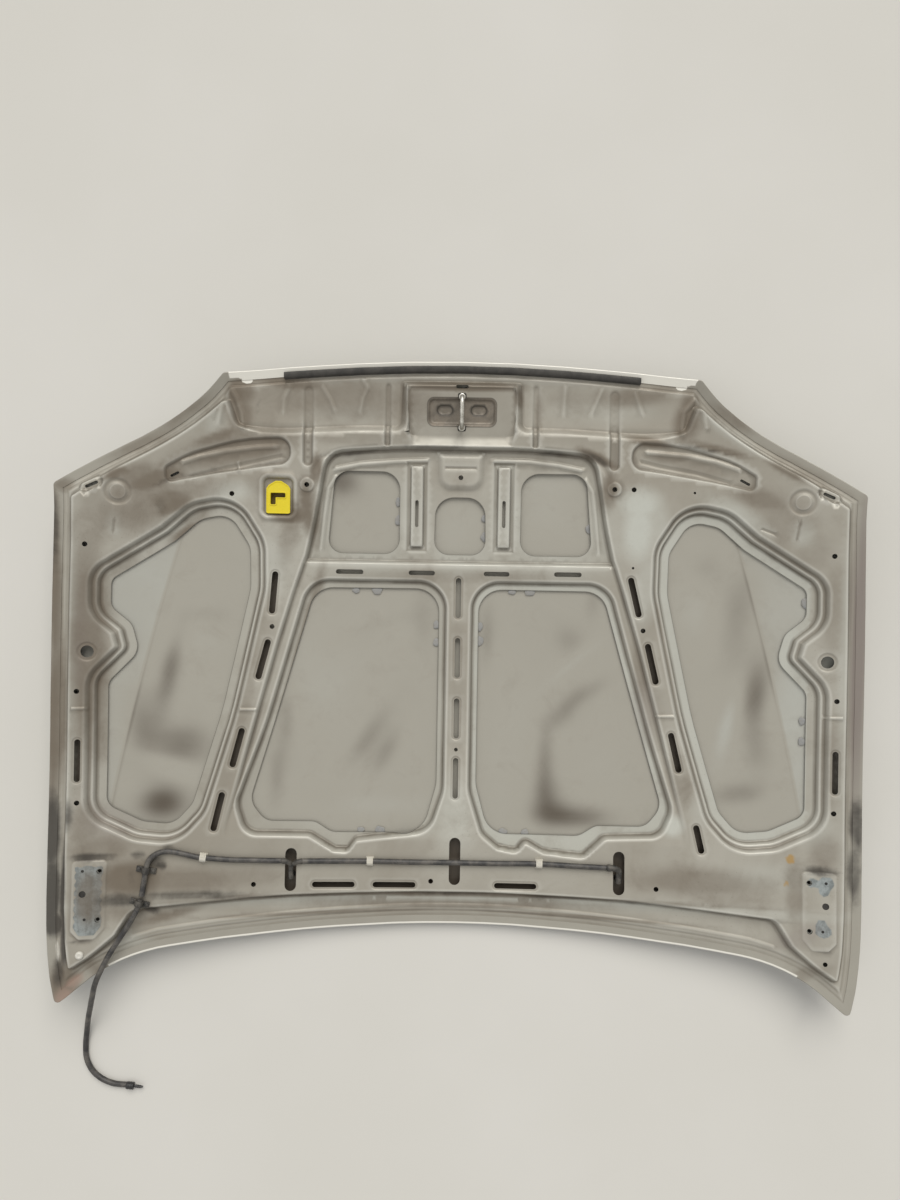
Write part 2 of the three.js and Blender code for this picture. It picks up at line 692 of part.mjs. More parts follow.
function backFace(points, tris, heights, thickness, level) {
  const normals = points.map(() => new THREE.Vector3());
  const faces = tris.map(([a, b, c]) => {
    const corner = (i) => new THREE.Vector3(points[i][0], points[i][1], heights[i]);
    const f = corner(b).sub(corner(a)).cross(corner(c).sub(corner(a)));
    [a, b, c].forEach((i) => normals[i].add(f));
    return f.clone().normalize();
  });
  const cosine = points.map(() => [0, 0]);
  normals.forEach((v) => v.normalize());
  tris.forEach((t, k) => t.forEach((i) => {
    cosine[i][0] += faces[k].dot(normals[i]);
    cosine[i][1] += 1;
  }));
  return points.map((p, i) => {
    if (level(i) || !cosine[i][1]) return [p[0], p[1], heights[i] - thickness];
    const reach = thickness / Math.max(0.6, cosine[i][0] / cosine[i][1]);
    const v = normals[i];
    return [p[0] - v.x * reach, p[1] - v.y * reach, heights[i] - v.z * reach];
  });
}

// Through slots of the inner panel: ends of the centre line and width
const SLOTS = [
  [-1, 111, -1, 183, SLOT_WIDTH], [-1, 3, -1, 75, SLOT_WIDTH], [-1, -106, -1, -34, SLOT_WIDTH],
  [-1, -213, -1, -141, SLOT_WIDTH], [0, -364, 0, -281, JET_SLOT_WIDTH],
  [-290, -376, -290, -301, JET_SLOT_WIDTH], [291, -374, 291, -298, JET_SLOT_WIDTH],
  [-252, -365, -177, -365, SLOT_WIDTH], [-145, -365, -69, -365, SLOT_WIDTH], [71, -364, 146, -364, SLOT_WIDTH],
  [-221, 191, -172, 191, SLOT_WIDTH * 0.85], [-91, 191, -44, 191, SLOT_WIDTH * 0.85],
  [44, 191, 90, 191, SLOT_WIDTH * 0.85], [170, 192, 219, 192, SLOT_WIDTH * 0.85],
  [-78, 273, -78, 321, RIB_SLOT_WIDTH], [78, 274, 78, 322, RIB_SLOT_WIDTH],
  [-332, 114, -326, 189, ARM_SLOT_WIDTH], [-355, -3, -337, 68, ARM_SLOT_WIDTH],
  [-397, -159, -380, -90, ARM_SLOT_WIDTH], [-427, -271, -412, -203, ARM_SLOT_WIDTH],
  [321, 118, 304, 188, ARM_SLOT_WIDTH], [353, -1, 336, 71, ARM_SLOT_WIDTH],
  [395, -156, 379, -86, ARM_SLOT_WIDTH], [435, -296, 424, -247, ARM_SLOT_WIDTH],
  [655, -182, 655, -108, SLOT_WIDTH], [-655, -182, -655, -108, SLOT_WIDTH],
  [-644, 327, -624, 337, TINY_HOLE * 1.2], [624, 337, 643, 328, TINY_HOLE * 1.2],
  [-506, 351, -492, 359, TINY_HOLE], [488, 361, 504, 352, TINY_HOLE],
  [-11, 518, 11, 518, TINY_HOLE * 1.4],
];
const HOLES = [
  [643, 229, SMALL_HOLE], [-643, 229, SMALL_HOLE], [655, -21, SMALL_HOLE], [-657, -25, SMALL_HOLE],
  [653, -215, SMALL_HOLE], [-654, -218, SMALL_HOLE], [-331, 91, SMALL_HOLE], [328, 94, SMALL_HOLE],
  [-402, 324, SMALL_HOLE], [306, 343, SMALL_HOLE], [-354, -364, SMALL_HOLE], [356, -361, SMALL_HOLE],
  [-42, -358, SMALL_HOLE], [-1, -126, SMALL_HOLE * 0.8], [0, 362, SMALL_HOLE], [-272, 343, SMALL_HOLE],
  [272, 343, SMALL_HOLE], [411, 338, TINY_HOLE], [308, 205, TINY_HOLE], [639, -472, SMALL_HOLE * 0.9],
  [-641, -477, (PLUG_STEM + 3 * FIT_GAP) / Math.cos(Math.PI / 6)],
];
const HINGE_BOLTS = [[614, -336], [614, -418]];
const HINGE_EXTRA = [[640, -374, HINGE_HOLE * 1.2], [641, -335, HINGE_PIN_HOLE], [635, -417, HINGE_PIN_HOLE]];
const quarterWindow = [
  [NOTCH_WIDTH / 2, NOTCH_REACH, 3], [NOTCH_WIDTH / 2, WINDOW_HEIGHT / 2, 0],
  [WINDOW_WIDTH / 2, WINDOW_HEIGHT / 2, 12],
];
const WINDOW = roundCorners([
  ...quarterWindow,
  ...quarterWindow.map(([x, y, r]) => [x, -y, r]).reverse(),
  ...quarterWindow.map(([x, y, r]) => [-x, -y, r]),
  ...quarterWindow.map(([x, y, r]) => [-x, y, r]).reverse(),
].map(([x, y, r]) => [x, LATCH_Y + y, r]), 50, 200);
const LATCH_PAD = roundCorners([
  [-LATCH_PAD_HALF_X, LATCH_Y - LATCH_PAD_HALF_Y, 5], [LATCH_PAD_HALF_X, LATCH_Y - LATCH_PAD_HALF_Y, 5],
  [LATCH_PAD_HALF_X, LATCH_Y + LATCH_PAD_HALF_Y, 5], [-LATCH_PAD_HALF_X, LATCH_Y + LATCH_PAD_HALF_Y, 5],
], 90, 200);
const SOCKET_HOLE = roundCorners([
  [-0.5, -0.5, 0], [0.5, -0.5, 0], [0.5, 0.5, 0], [-0.5, 0.5, 0],
].map(([x, y, r]) => [SOCKET_AT[0] + x * (SOCKET_BODY_WIDTH + 2 * FIT_GAP),
  SOCKET_AT[1] + y * (SOCKET_BODY_WIDTH + 2 * FIT_GAP), r]), 90, 200);
const JETS = [at(-290, -352), at(291, -350)];

// Inner panel
function buildInnerPanel() {
  const s = new Sheet();
  const edge = s.ring(PANEL_EDGE);
  const hem = s.ring(HEM_END);
  const end = s.ring(FLANGE_END);
  s.strip(edge, hem, hemOffset.to);
  s.strip(hem, end, flangeOffset.to);
  const flatCount = s.points.length;
  const holes = [];
  const lines = [];
  const drawn = [];
  const hole = (poly) => {
    holes.push(s.ring(anticlockwise(poly)));
    drawn.push(...poly);
  };
  const line = (poly, closed = true) => {
    lines.push({ ids: s.ring(poly), closed });
    drawn.push(...poly);
  };
  line(PLATEAU);
  line(offsetRing(PLATEAU, PLATEAU_WALL).ring);
  const lowPath = (poly) => {
    const cut = poly.map((p) => p[1] > -283 * SY);
    const start = cut.findIndex((yes, i) => yes && !cut[(i + poly.length - 1) % poly.length]);
    const ordered = poly.map((p, i) => poly[(start + i) % poly.length]);
    return ordered.filter((p) => p[1] > -283 * SY);
  };
  line(lowPath(LOW), false);
  line(lowPath(offsetRing(LOW, -FLANK_WALL).ring), false);
  SIDES.forEach((poly) => {
    hole(poly);
    line(offsetRing(poly, -SIDE_LEDGE).ring);
    line(offsetRing(poly, -SIDE_LEDGE - SIDE_WALL).ring);
  });
  BIGS.forEach((poly) => {
    hole(poly);
    line(offsetRing(poly, -CENTRE_LEDGE).ring);
    line(offsetRing(poly, -CENTRE_LEDGE - CENTRE_WALL).ring);
  });
  UPPERS.forEach(hole);
  const footEdge = LOW.filter((p) => p[0] > 0 && Math.abs(p[1] - STEP_FOOT_Y) < 1)[0][0];
  const topEdge = LOW.filter((p) => p[0] > 0 && Math.abs(p[1] - STEP_TOP_Y) < 1)[0][0];
  line([-3, -2, -1, 0, 1, 2, 3].map((k) => [(k / 3.05) * footEdge, STEP_FOOT_Y]), false);
  line([-3, -2, -1, 0, 1, 2, 3].map((k) => [(k / 3.05) * topEdge, STEP_TOP_Y]), false);
  SAUSAGES.forEach((poly) => {
    line(poly);
    line(offsetRing(poly, 6).ring);
  });
  HINGES.forEach((poly) => {
    line(poly);
  });
  line(TAB);
  line(offsetRing(TAB, 5).ring);
  line(SOCKET_RECESS);
  line(offsetRing(SOCKET_RECESS, 5).ring);
  hole(SOCKET_HOLE);
  line(LATCH_PAD);
  hole(WINDOW);
  BEAD_RINGS.forEach((poly, k) => {
    const [x0, y0, x1, y1] = BEADS[k];
    line(poly);
    line([at(x0, y0 + 9), at(x1, y1 - 9)], false);
  });
  [RIB_X, -RIB_X].forEach((x) => {
    const box = (m) => [[x - RIB_HALF + m, RIB_ENDS[0] + m], [x + RIB_HALF - m, RIB_ENDS[0] + m],
      [x + RIB_HALF - m, RIB_ENDS[1] - m], [x - RIB_HALF + m, RIB_ENDS[1] - m]];
    line(box(0));
    line(box(4));
  });
  BOSSES.forEach(([x, y]) => {
    line(disc(x, y, BOSS_RADIUS, 10));
    line(disc(x, y, BOSS_RADIUS - 4, 10));
  });
  BUMP_PADS.forEach(([x, y]) => {
    line(disc(x, y, BUMP_PAD_RADIUS + 6, 12));
    line(disc(x, y, BUMP_PAD_RADIUS, 12));
    line(disc(x, y, BUMP_CORE_RADIUS + 2, 10));
    line(disc(x, y, BUMP_CORE_RADIUS, 10));
  });
  SIDE_HOLES.forEach(([x, y]) => {
    hole(disc(x, y, SIDE_HOLE / 2, 12));
    line(disc(x, y, SIDE_COLLAR, 12));
  });
  SLOTS.forEach(([x0, y0, x1, y1, w]) => hole(slot(...at(x0, y0), ...at(x1, y1), w)));
  HOLES.forEach(([x, y, d]) => hole(disc(...at(x, y), d / 2, 6)));
  [1, -1].forEach((side) => {
    HINGE_BOLTS.forEach(([x, y]) => hole(disc(...at(side * x, y), HINGE_HOLE / 2, 8)));
    HINGE_EXTRA.forEach(([x, y, d]) => hole(disc(...at(side * x, y), d / 2, 6)));
  });
  const grid = s.ring(gridPoints(130, FLANGE_END, drawn, 26).filter(([x, y]) => (
    ![...SIDES, ...BIGS, ...UPPERS, SOCKET_HOLE, WINDOW].some((poly) => depthInside(x, y, poly) > -20)
  )));
  s.region(end, holes, lines, grid);
  const heights = s.points.map(([x, y], i) => {
    if (i < edge.length + hem.length) return skinZ(x, y) + FLANGE_LEVEL;
    if (i < flatCount) return skinZ(x, y) + FLANGE_END_LEVEL;
    return panelTarget(x, y);
  });
  const backs = backFace(s.points, s.tris, heights, PANEL_THICKNESS, (i) => i < flatCount);
  return { body: sheetBody(s.points, s.tris, heights, backs), sheet: s, heights };
}

// Outer skin with its folded hem
function buildSkin() {
  const s = new Sheet();
  const edge = s.ring(EDGE);
  const fold = s.ring(FOLD);
  const panel = s.ring(PANEL_EDGE);
  const hem = s.ring(HEM_END);
  const end = s.ring(FLANGE_END);
  const jetHole = (JET_STEM / 2 + FIT_GAP * 1.2) / Math.cos(Math.PI / 8);
  const holes = JETS.map(([x, y]) => s.ring(disc(x, y, jetHole, 8)));
  const crease = [];
  for (let k = 0; k <= 10; k += 1) {
    const y = mix(-420, 430, k / 10) * SY;
    if (depthInside(creaseX(y), y, FLANGE_END) > 30) crease.push([creaseX(y), y], [-creaseX(y), y]);
  }
  const taken = [...crease, ...JETS];
  const loose = s.ring([...crease, ...gridPoints(170, FLANGE_END, taken, 40), [0, CROWN_CENTRE_Y]]);
  const core = new Sheet();
  core.points = s.points;
  core.region(end, holes, [], loose);
  const n = s.points.length;
  const position = [];
  const layers = [0, SKIN_THICKNESS, SKIN_THICKNESS + HEM_INNER_GAP, HEM_HEIGHT];
  layers.forEach((rise) => s.points.forEach(([x, y]) => position.push(x, y, skinZ(x, y) + rise)));
  const index = [];
  const face = (tris, layer, up) => tris.forEach(([a, b, c]) => {
    const o = layer * n;
    if (up) index.push(a + o, b + o, c + o);
    else index.push(c + o, b + o, a + o);
  });
  const stripOf = (a, b, to) => {
    const t = new Sheet();
    t.strip(a, b, to);
    return t.tris;
  };
  const wall = (ring, low, high, outward) => {
    for (let i = 0; i < ring.length; i += 1) {
      const a = ring[i];
      const b = ring[(i + 1) % ring.length];
      const q = [a + low * n, b + low * n, b + high * n, a + high * n];
      if (outward) index.push(q[0], q[1], q[2], q[0], q[2], q[3]);
      else index.push(q[2], q[1], q[0], q[3], q[2], q[0]);
    }
  };
  const compose = (f, g) => f.map((k) => g[k]);
  const toPanel = compose(foldOffset.to, panelEdgeOffset.to);
  const toHem = compose(toPanel, hemOffset.to);
  const toEnd = compose(toHem, flangeOffset.to);
  face(core.tris, 0, false);
  face(stripOf(edge, end, toEnd), 0, false);
  face(core.tris, 1, true);
  face(stripOf(hem, end, flangeOffset.to), 1, true);
  face(stripOf(panel, hem, hemOffset.to), 1, true);
  face(stripOf(fold, panel, panelEdgeOffset.to), 1, true);
  face(stripOf(panel, hem, hemOffset.to), 2, false);
  face(stripOf(fold, panel, panelEdgeOffset.to), 2, false);
  face(stripOf(edge, hem, toHem), 3, true);
  wall(edge, 0, 3, true);
  wall(hem, 2, 3, false);
  wall(fold, 1, 2, false);
  holes.forEach((ids) => wall(ids, 0, 1, false));
  return geometryFrom(position, index);
}

const inner = buildInnerPanel();

// Height of the inner panel's faceted upper face
function panelZ(x, y) {
  const { points, tris } = inner.sheet;
  const z = inner.heights;
  for (const [a, b, c] of tris) {
    const [ax, ay] = points[a];
    const [bx, by] = points[b];
    const [cx, cy] = points[c];
    const d = (bx - ax) * (cy - ay) - (by - ay) * (cx - ax);
    const u = ((x - ax) * (cy - ay) - (y - ay) * (cx - ax)) / d;
    const v = ((bx - ax) * (y - ay) - (by - ay) * (x - ax)) / d;
    if (u >= -1e-7 && v >= -1e-7 && u + v <= 1 + 1e-7) return z[a] + u * (z[b] - z[a]) + v * (z[c] - z[a]);
  }
  return skinZ(x, y) + PLATEAU_LEVEL;
}

const bonnet = new THREE.Group();
bonnet.name = 'car_bonnet';
const cordNames = ['washer_hose_free', 'hose_connector'];
function add(name, geometry, colour, metalness, roughness) {
  const material = new THREE.MeshStandardMaterial({ color: colour, metalness, roughness });
  material.name = `${name}_material`;
  const mesh = new THREE.Mesh(geometry, material);
  mesh.name = name;
  bonnet.add(mesh);
  return mesh;
}
function shapeOf(poly, holes = []) {
  const shape = new THREE.Shape(anticlockwise(poly).map(([x, y]) => new THREE.Vector2(x, y)));
  holes.forEach((h) => {
    const ring = anticlockwise(h).slice().reverse();
    shape.holes.push(new THREE.Path(ring.map(([x, y]) => new THREE.Vector2(x, y))));
  });
  return shape;
}
function slab(poly, holes, depth) {
  return new THREE.ExtrudeGeometry(shapeOf(poly, holes), { depth, bevelEnabled: false });
}
function tube(points, radius, sides, steps) {
  const path = new THREE.CatmullRomCurve3(points.map((p) => new THREE.Vector3(...p)), false, 'centripetal');
  const section = shapeOf(disc(0, 0, radius, sides));
  return new THREE.ExtrudeGeometry(section, { steps, bevelEnabled: false, extrudePath: path });
}
function lathe(profile, sides) {
  return new THREE.LatheGeometry(profile.map(([r, h]) => new THREE.Vector2(r, h)), sides).rotateX(Math.PI / 2);
}

add('outer_skin', buildSkin(), 0xb4b6b2, 0.55, 0.38);
add('inner_panel', inner.body, 0x9d968c, 0.35, 0.55);

// Weather seal along the front edge
function sealBody() {
  const rows = 24;
  const reach = 312 * SX;
  const edgeAt = (x) => {
    const k = EDGE.findIndex((p, i) => {
      const q = EDGE[(i + 1) % EDGE.length];
      return p[1] > 400 * SY && (p[0] - x) * (q[0] - x) <= 0 && p[0] !== q[0];
    });
    const p = EDGE[k];
    const q = EDGE[(k + 1) % EDGE.length];
    return mix(p[1], q[1], (x - p[0]) / (q[0] - p[0]));
  };
  const position = [];
  const index = [];
  const base = HEM_HEIGHT + FIT_GAP + 0.1;
  const profile = [[0, 0], [SEAL_WIDTH, 0], [SEAL_WIDTH, SEAL_HEIGHT * 0.6], [SEAL_WIDTH * 0.75, SEAL_HEIGHT],
    [SEAL_WIDTH * 0.25, SEAL_HEIGHT], [0, SEAL_HEIGHT * 0.6]];
  const m = profile.length;
  for (let r = 0; r <= rows; r += 1) {
    const x = mix(-reach, reach, r / rows);
    profile.forEach(([back, up]) => {
      const y = edgeAt(x) - SEAL_SETBACK - back;
      position.push(x, y, skinZ(x, y) + base + up);
    });
  }
  for (let r = 0; r < rows; r += 1) {
    for (let k = 0; k < m; k += 1) {
      const a = r * m + k;
      const b = r * m + ((k + 1) % m);
      index.push(b + m, b, a, a + m, b + m, a);
    }
  }
  for (let k = 1; k < m - 1; k += 1) {
    index.push(0, k, k + 1);
    index.push(rows * m, rows * m + k + 1, rows * m + k);
  }
  return geometryFrom(position, index);
}
add('front_seal', sealBody(), 0x33322f, 0, 0.85);

// Dished plate behind the latch window, with the striker loop through it
const latchTilt = Math.atan((skinZ(0, LATCH_Y + 30) - skinZ(0, LATCH_Y - 30)) / 60);
function onLatch(geometry) {
  return geometry.rotateX(latchTilt).translate(0, LATCH_Y, latchPlane(LATCH_Y));
}
const plateTop = -(PANEL_THICKNESS / Math.cos(latchTilt) + FIT_GAP);
function latchPlateBody() {
  const s = new Sheet();
  const box = (w, h, r) => roundCorners([
    [-w / 2, -h / 2, r], [w / 2, -h / 2, r], [w / 2, h / 2, r], [-w / 2, h / 2, r],
  ], 50, 200);
  const outer = s.ring(box(WINDOW_WIDTH + 2 * LATCH_PLATE_MARGIN, WINDOW_HEIGHT + 2 * LATCH_PLATE_MARGIN, 14));
  const rim = s.ring(box(WINDOW_WIDTH - 2, WINDOW_HEIGHT - 2, 11));
  const floor = s.ring(box(WINDOW_WIDTH - 12, WINDOW_HEIGHT - 12, 7));
  const pads = [-1, 1].map((side) => s.ring(slot(side * 30 - 14, 4, side * 30 + 14, 4, 15)));
  const padTops = [-1, 1].map((side) => s.ring(slot(side * 30 - 12, 4, side * 30 + 12, 4, 11)));
  s.region(outer, [], [rim, floor, ...pads, ...padTops].map((ids) => ({ ids, closed: true })), []);
  const floorIds = new Set([...floor, ...pads.flat()]);
  const padIds = new Set(padTops.flat());
  const heights = s.points.map((p, i) => {
    if (floorIds.has(i)) return plateTop - LATCH_DISH;
    if (padIds.has(i)) return plateTop - LATCH_DISH - 1.2;
    return plateTop;
  });
  const backs = backFace(s.points, s.tris, heights, LATCH_PLATE_THICKNESS, () => false);
  return onLatch(sheetBody(s.points, s.tris, heights, backs));
}
add('latch_reinforcement', latchPlateBody(), 0x75706a, 0.4, 0.5);
const rodRadius = STRIKER_ROD / 2;
const footZ = plateTop + FIT_GAP;
const footY = STRIKER_SPAN / 2;
const bend = 12;
const rodTop = STRIKER_REACH - rodRadius;
const strikerPath = [
  [0, footY, footZ], [0, footY, mix(footZ, rodTop - bend, 0.5)], [0, footY, rodTop - bend],
  [0, footY - bend * 0.12, rodTop - bend * 0.42], [0, footY - bend * 0.42, rodTop - bend * 0.12],
  [0, footY - bend, rodTop], [0, 0, rodTop], [0, -footY + bend, rodTop],
  [0, -footY + bend * 0.42, rodTop - bend * 0.12], [0, -footY + bend * 0.12, rodTop - bend * 0.42],
  [0, -footY, rodTop - bend], [0, -footY, mix(footZ, rodTop - bend, 0.5)], [0, -footY, footZ],
];
add('striker', onLatch(tube(strikerPath, rodRadius, 8, 24)), 0xc9c7c0, 0.9, 0.3);

// Hinge reinforcements behind the pads, each with two weld nuts
[1, -1].forEach((side) => {
  const tag = side > 0 ? 'right' : 'left';
  const cx = side * 632 * SX;
  const cy = -384 * SY;
  const sx = (hingePlane(cx + 10, cy, side) - hingePlane(cx - 10, cy, side)) / 20;
  const sy = (hingePlane(cx, cy + 10, side) - hingePlane(cx, cy - 10, side)) / 20;
  const normal = new THREE.Vector3(-sx, -sy, 1).normalize();
  const turn = new THREE.Quaternion().setFromUnitVectors(new THREE.Vector3(0, 0, 1), normal);
  const settle = (geometry, x, y, drop) => {
    const z = hingePlane(x, y, side);
    return geometry.applyQuaternion(turn).translate(
      x - normal.x * drop,
      y - normal.y * drop,
      z - normal.z * drop,
    );
  };
  const plan = [[-25, -46, 6], [-12, -62, 6], [17, -62, 8], [20, 60, 8], [-25, 60, 6]];
  const pad = roundCorners(plan.map(([x, y, r]) => [side * x, y, r]), 60, 200);
  const holes = HINGE_BOLTS.map(([x, y]) => {
    const [bx, by] = at(side * x, y);
    return disc(bx - cx, by - cy, HINGE_HOLE / 2 + FIT_GAP, 8);
  });
  const plateDrop = PANEL_THICKNESS + FIT_GAP * 1.5 + HINGE_PLATE_THICKNESS;
  const plate = settle(slab(pad, holes, HINGE_PLATE_THICKNESS), cx, cy, plateDrop);
  add(`hinge_reinforcement_${tag}`, plate, 0x8d9298, 0.6, 0.5);
  HINGE_BOLTS.forEach(([x, y], k) => {
    const [bx, by] = at(side * x, y);
    const hexagon = disc(0, 0, NUT_ACROSS / 2 / Math.cos(Math.PI / 6), 6);
    const nut = slab(hexagon, [disc(0, 0, NUT_BORE / 2, 8)], NUT_HEIGHT);
    const nutDrop = plateDrop + FIT_GAP * 1.3 + NUT_HEIGHT;
    add(`hinge_nut_${tag}_${k + 1}`, settle(nut, bx, by, nutDrop), 0x9b9ea1, 0.8, 0.4);
  });
});

// Prop socket, its face plate with an L shaped mouth over a closed box
function propSocket() {
  const w = SOCKET_WIDTH / 2;
  const h = SOCKET_HEIGHT / 2;
  const face = [[-w, -h + 3], [-w + 3, -h], [w - 3, -h], [w, -h + 3], [w, h - 13], [w - 3, h - 8],
    [4, h], [-4, h], [-w + 3, h - 8], [-w, h - 13]];
  const mouth = [[-13, 7], [-13, -13], [-5, -13], [-5, -1], [12, -1], [12, 7]];
  const b = SOCKET_BODY_WIDTH / 2;
  const position = [];
  const index = [];
  const rings = [
    [face, SOCKET_FLANGE], [face, 0], [[[-b, -b], [b, -b], [b, b], [-b, b]], 0],
    [[[-b, -b], [b, -b], [b, b], [-b, b]], -SOCKET_BODY_DEPTH], [mouth, SOCKET_FLANGE],
    [mouth, -SOCKET_BODY_DEPTH + 2],
  ].map(([poly, z]) => {
    const ring = anticlockwise(poly);
    const first = position.length / 3;
    ring.forEach(([x, y]) => position.push(x, y, z));
    return { ring, first };
  });
  const capOf = (outer, hole, up) => {
    const shape = shapeOf(rings[outer].ring, hole === null ? [] : [rings[hole].ring]);
    const parts = shape.extractPoints(1);
    const ids = [...parts.shape, ...parts.holes.flat()].map((v) => {
      for (const r of hole === null ? [outer] : [outer, hole]) {
        const k = rings[r].ring.findIndex(([x, y]) => Math.hypot(x - v.x, y - v.y) < 1e-6);
        if (k >= 0) return rings[r].first + k;
      }
      return 0;
    });
    THREE.ShapeUtils.triangulateShape(parts.shape, parts.holes).forEach(([i, j, k]) => {
      if (up) index.push(ids[i], ids[j], ids[k]);
      else index.push(ids[k], ids[j], ids[i]);
    });
  };
  const wall = (low, high, outward) => {
    const m = rings[low].ring.length;
    for (let i = 0; i < m; i += 1) {
      const j = (i + 1) % m;
      const a = rings[low].first + i;
      const c = rings[low].first + j;
      const d = rings[high].first + j;
      const e = rings[high].first + i;
      if (outward) index.push(a, c, d, a, d, e);
      else index.push(d, c, a, e, d, a);
    }
  };
  capOf(0, 4, true);
  capOf(1, 2, false);
  capOf(3, null, false);
  capOf(5, null, true);
  wall(1, 0, true);
  wall(3, 2, true);
  wall(5, 4, false);
  const [sx, sy] = SOCKET_AT;
  const tiltY = -Math.atan((skinZ(sx + 25, sy) - skinZ(sx - 25, sy)) / 50);
  const tiltX = Math.atan((skinZ(sx, sy + 25) - skinZ(sx, sy - 25)) / 50);
  const middle = (panelZ(sx + b + 2, sy) + panelZ(sx - b - 2, sy)) / 2 + FIT_GAP + 0.9;
  return geometryFrom(position, index).rotateX(tiltX).rotateY(tiltY).translate(sx, sy, middle);
}
add('prop_socket', propSocket(), 0xe0c61e, 0, 0.5);

// Washer hose over the rear beam
const hoseR = HOSE_DIAMETER / 2;
const hoseAbove = (x, y, extra = 0) => {
  const [px, py] = at(x, y);
  return [px, py, panelZ(px, py) + hoseR + HOSE_CLEAR + HOSE_LIFT + extra];
};
const MAIN_RUN = [
  [-541, -378], [-539, -362], [-537, -346], [-535, -331], [-530, -316], [-519, -307], [-505, -303], [-490, -304],
  [-472, -308], [-452, -313], [-436, -315], [-415, -317], [-390, -319], [-355, -320], [-322, -321],
];
add('washer_hose_supply', tube([
  ...MAIN_RUN.map(([x, y]) => hoseAbove(x, y)),
  ...[[-306, -321]].map(([x, y]) => hoseAbove(x, y)),
], hoseR, 8, 34), 0x6d6a64, 0, 0.7);
const CROSS_RUN = [
  [-268, -322], [-220, -322], [-150, -322], [-75, -323], [-25, -323], [25, -323], [75, -323], [150, -322],
  [215, -324], [268, -325],
];
add('washer_hose_cross', tube(CROSS_RUN.map(([x, y]) => hoseAbove(x, y)), hoseR, 8, 20), 0x57544f, 0, 0.75);

// Tee at the left jet and elbow at the right jet
function teeBody() {
  const [x, y] = JETS[0];
  const z = hoseAbove(-304, -321)[2];
  const ends = [hoseAbove(-306, -321), hoseAbove(-268, -322)];
  const drop = skinZ(x, y) + SKIN_THICKNESS + 15;
  return tube([
    [ends[0][0] + FIT_GAP + 0.4, ends[0][1], ends[0][2]],
    [x - 8, ends[0][1] - 1, z], [x, ends[0][1] - 8, z - 5],
    [x, y + 10, mix(z, drop, 0.6)], [x, y, drop + 4], [x, y, drop],
  ], hoseR * 0.92, 8, 14);
}
add('hose_tee_left', teeBody(), 0x2b2a28, 0, 0.7);
function elbowBody() {
  const [x, y] = JETS[1];
  const start = hoseAbove(268, -325);
  const drop = skinZ(x, y) + SKIN_THICKNESS + 15;
  return tube([
    [start[0] + FIT_GAP + 0.8, start[1], start[2]],
    [x - 8, start[1] - 1, start[2]], [x, start[1] - 6, start[2] - 4],
    [x, y + 8, mix(start[2], drop, 0.6)], [x, y, drop + 4], [x, y, drop],
  ], hoseR * 1.15, 8, 14);
}
add('hose_elbow_right', elbowBody(), 0x222221, 0, 0.7);
JETS.forEach(([x, y], k) => {
  const r = JET_STEM / 2;
  const profile = [
    [0, -FIT_GAP - JET_HEAD_HEIGHT], [JET_HEAD * 0.38, -FIT_GAP - JET_HEAD_HEIGHT],
    [JET_HEAD / 2, -FIT_GAP - JET_HEAD_HEIGHT * 0.4], [JET_HEAD / 2, -FIT_GAP - 2.2], [r, -FIT_GAP - 2.2],
    [r, SKIN_THICKNESS + 9], [r * 0.6, SKIN_THICKNESS + 14], [0, SKIN_THICKNESS + 14],
  ];
  add(`washer_jet_${k ? 'right' : 'left'}`, lathe(profile, 12).translate(x, y, skinZ(x, y)), 0x2a2a2a, 0, 0.6);
});

// Holders are drawn across the hose, then turned along it and set on the panel's own slope
function panelUp(x, y) {
  const dx = (panelZ(x + 12, y) - panelZ(x - 12, y)) / 24;
  const dy = (panelZ(x, y + 6) - panelZ(x, y - 6)) / 12;
  return new THREE.Vector3(-dx, -dy, 1).normalize();
}
function alongHose(geometry, centre, direction, up) {
  const t = direction.clone().normalize();
  const n = up.clone().addScaledVector(t, -up.dot(t)).normalize();
  const b = n.clone().cross(t);
  const basis = new THREE.Matrix4().makeBasis(b, n, t);
  return geometry.applyMatrix4(basis).translate(...centre);
}
function hoseDirection(x, y, heading) {
  const run = 6;
  const p = hoseAbove(x - run * Math.cos(heading), y - run * Math.sin(heading));
  const q = hoseAbove(x + run * Math.cos(heading), y + run * Math.sin(heading));
  return new THREE.Vector3(q[0] - p[0], q[1] - p[1], q[2] - p[2]);
}
const holderBore = hoseR + HOSE_CLEAR;
const holderBase = -(holderBore + HOSE_LIFT * 0.4);

// White clips that carry the hose
function clipSection() {
  const w = CLIP_WIDTH / 2;
  const shoulder = holderBore * 0.7;
  const crown = holderBore + CLIP_WALL;
  return [[-w, holderBase], [w, holderBase], [w, shoulder], [w * 0.55, crown],
    [-w * 0.55, crown], [-w, shoulder]];
}
[[-442, -314.5, -0.13], [-151, -322, 0], [151, -322, 0]].forEach(([x, y, heading], k) => {
  const length = CLIP_LENGTH * 0.55;
  const g = slab(clipSection(), [disc(0, 0, holderBore, 12)], length).translate(0, 0, -length / 2);
  const [px, py] = at(x, y);
  add(`hose_clip_${k + 1}`, alongHose(g, hoseAbove(x, y), hoseDirection(x, y, heading), panelUp(px, py)),
    0xd9d5c8, 0, 0.5);
});

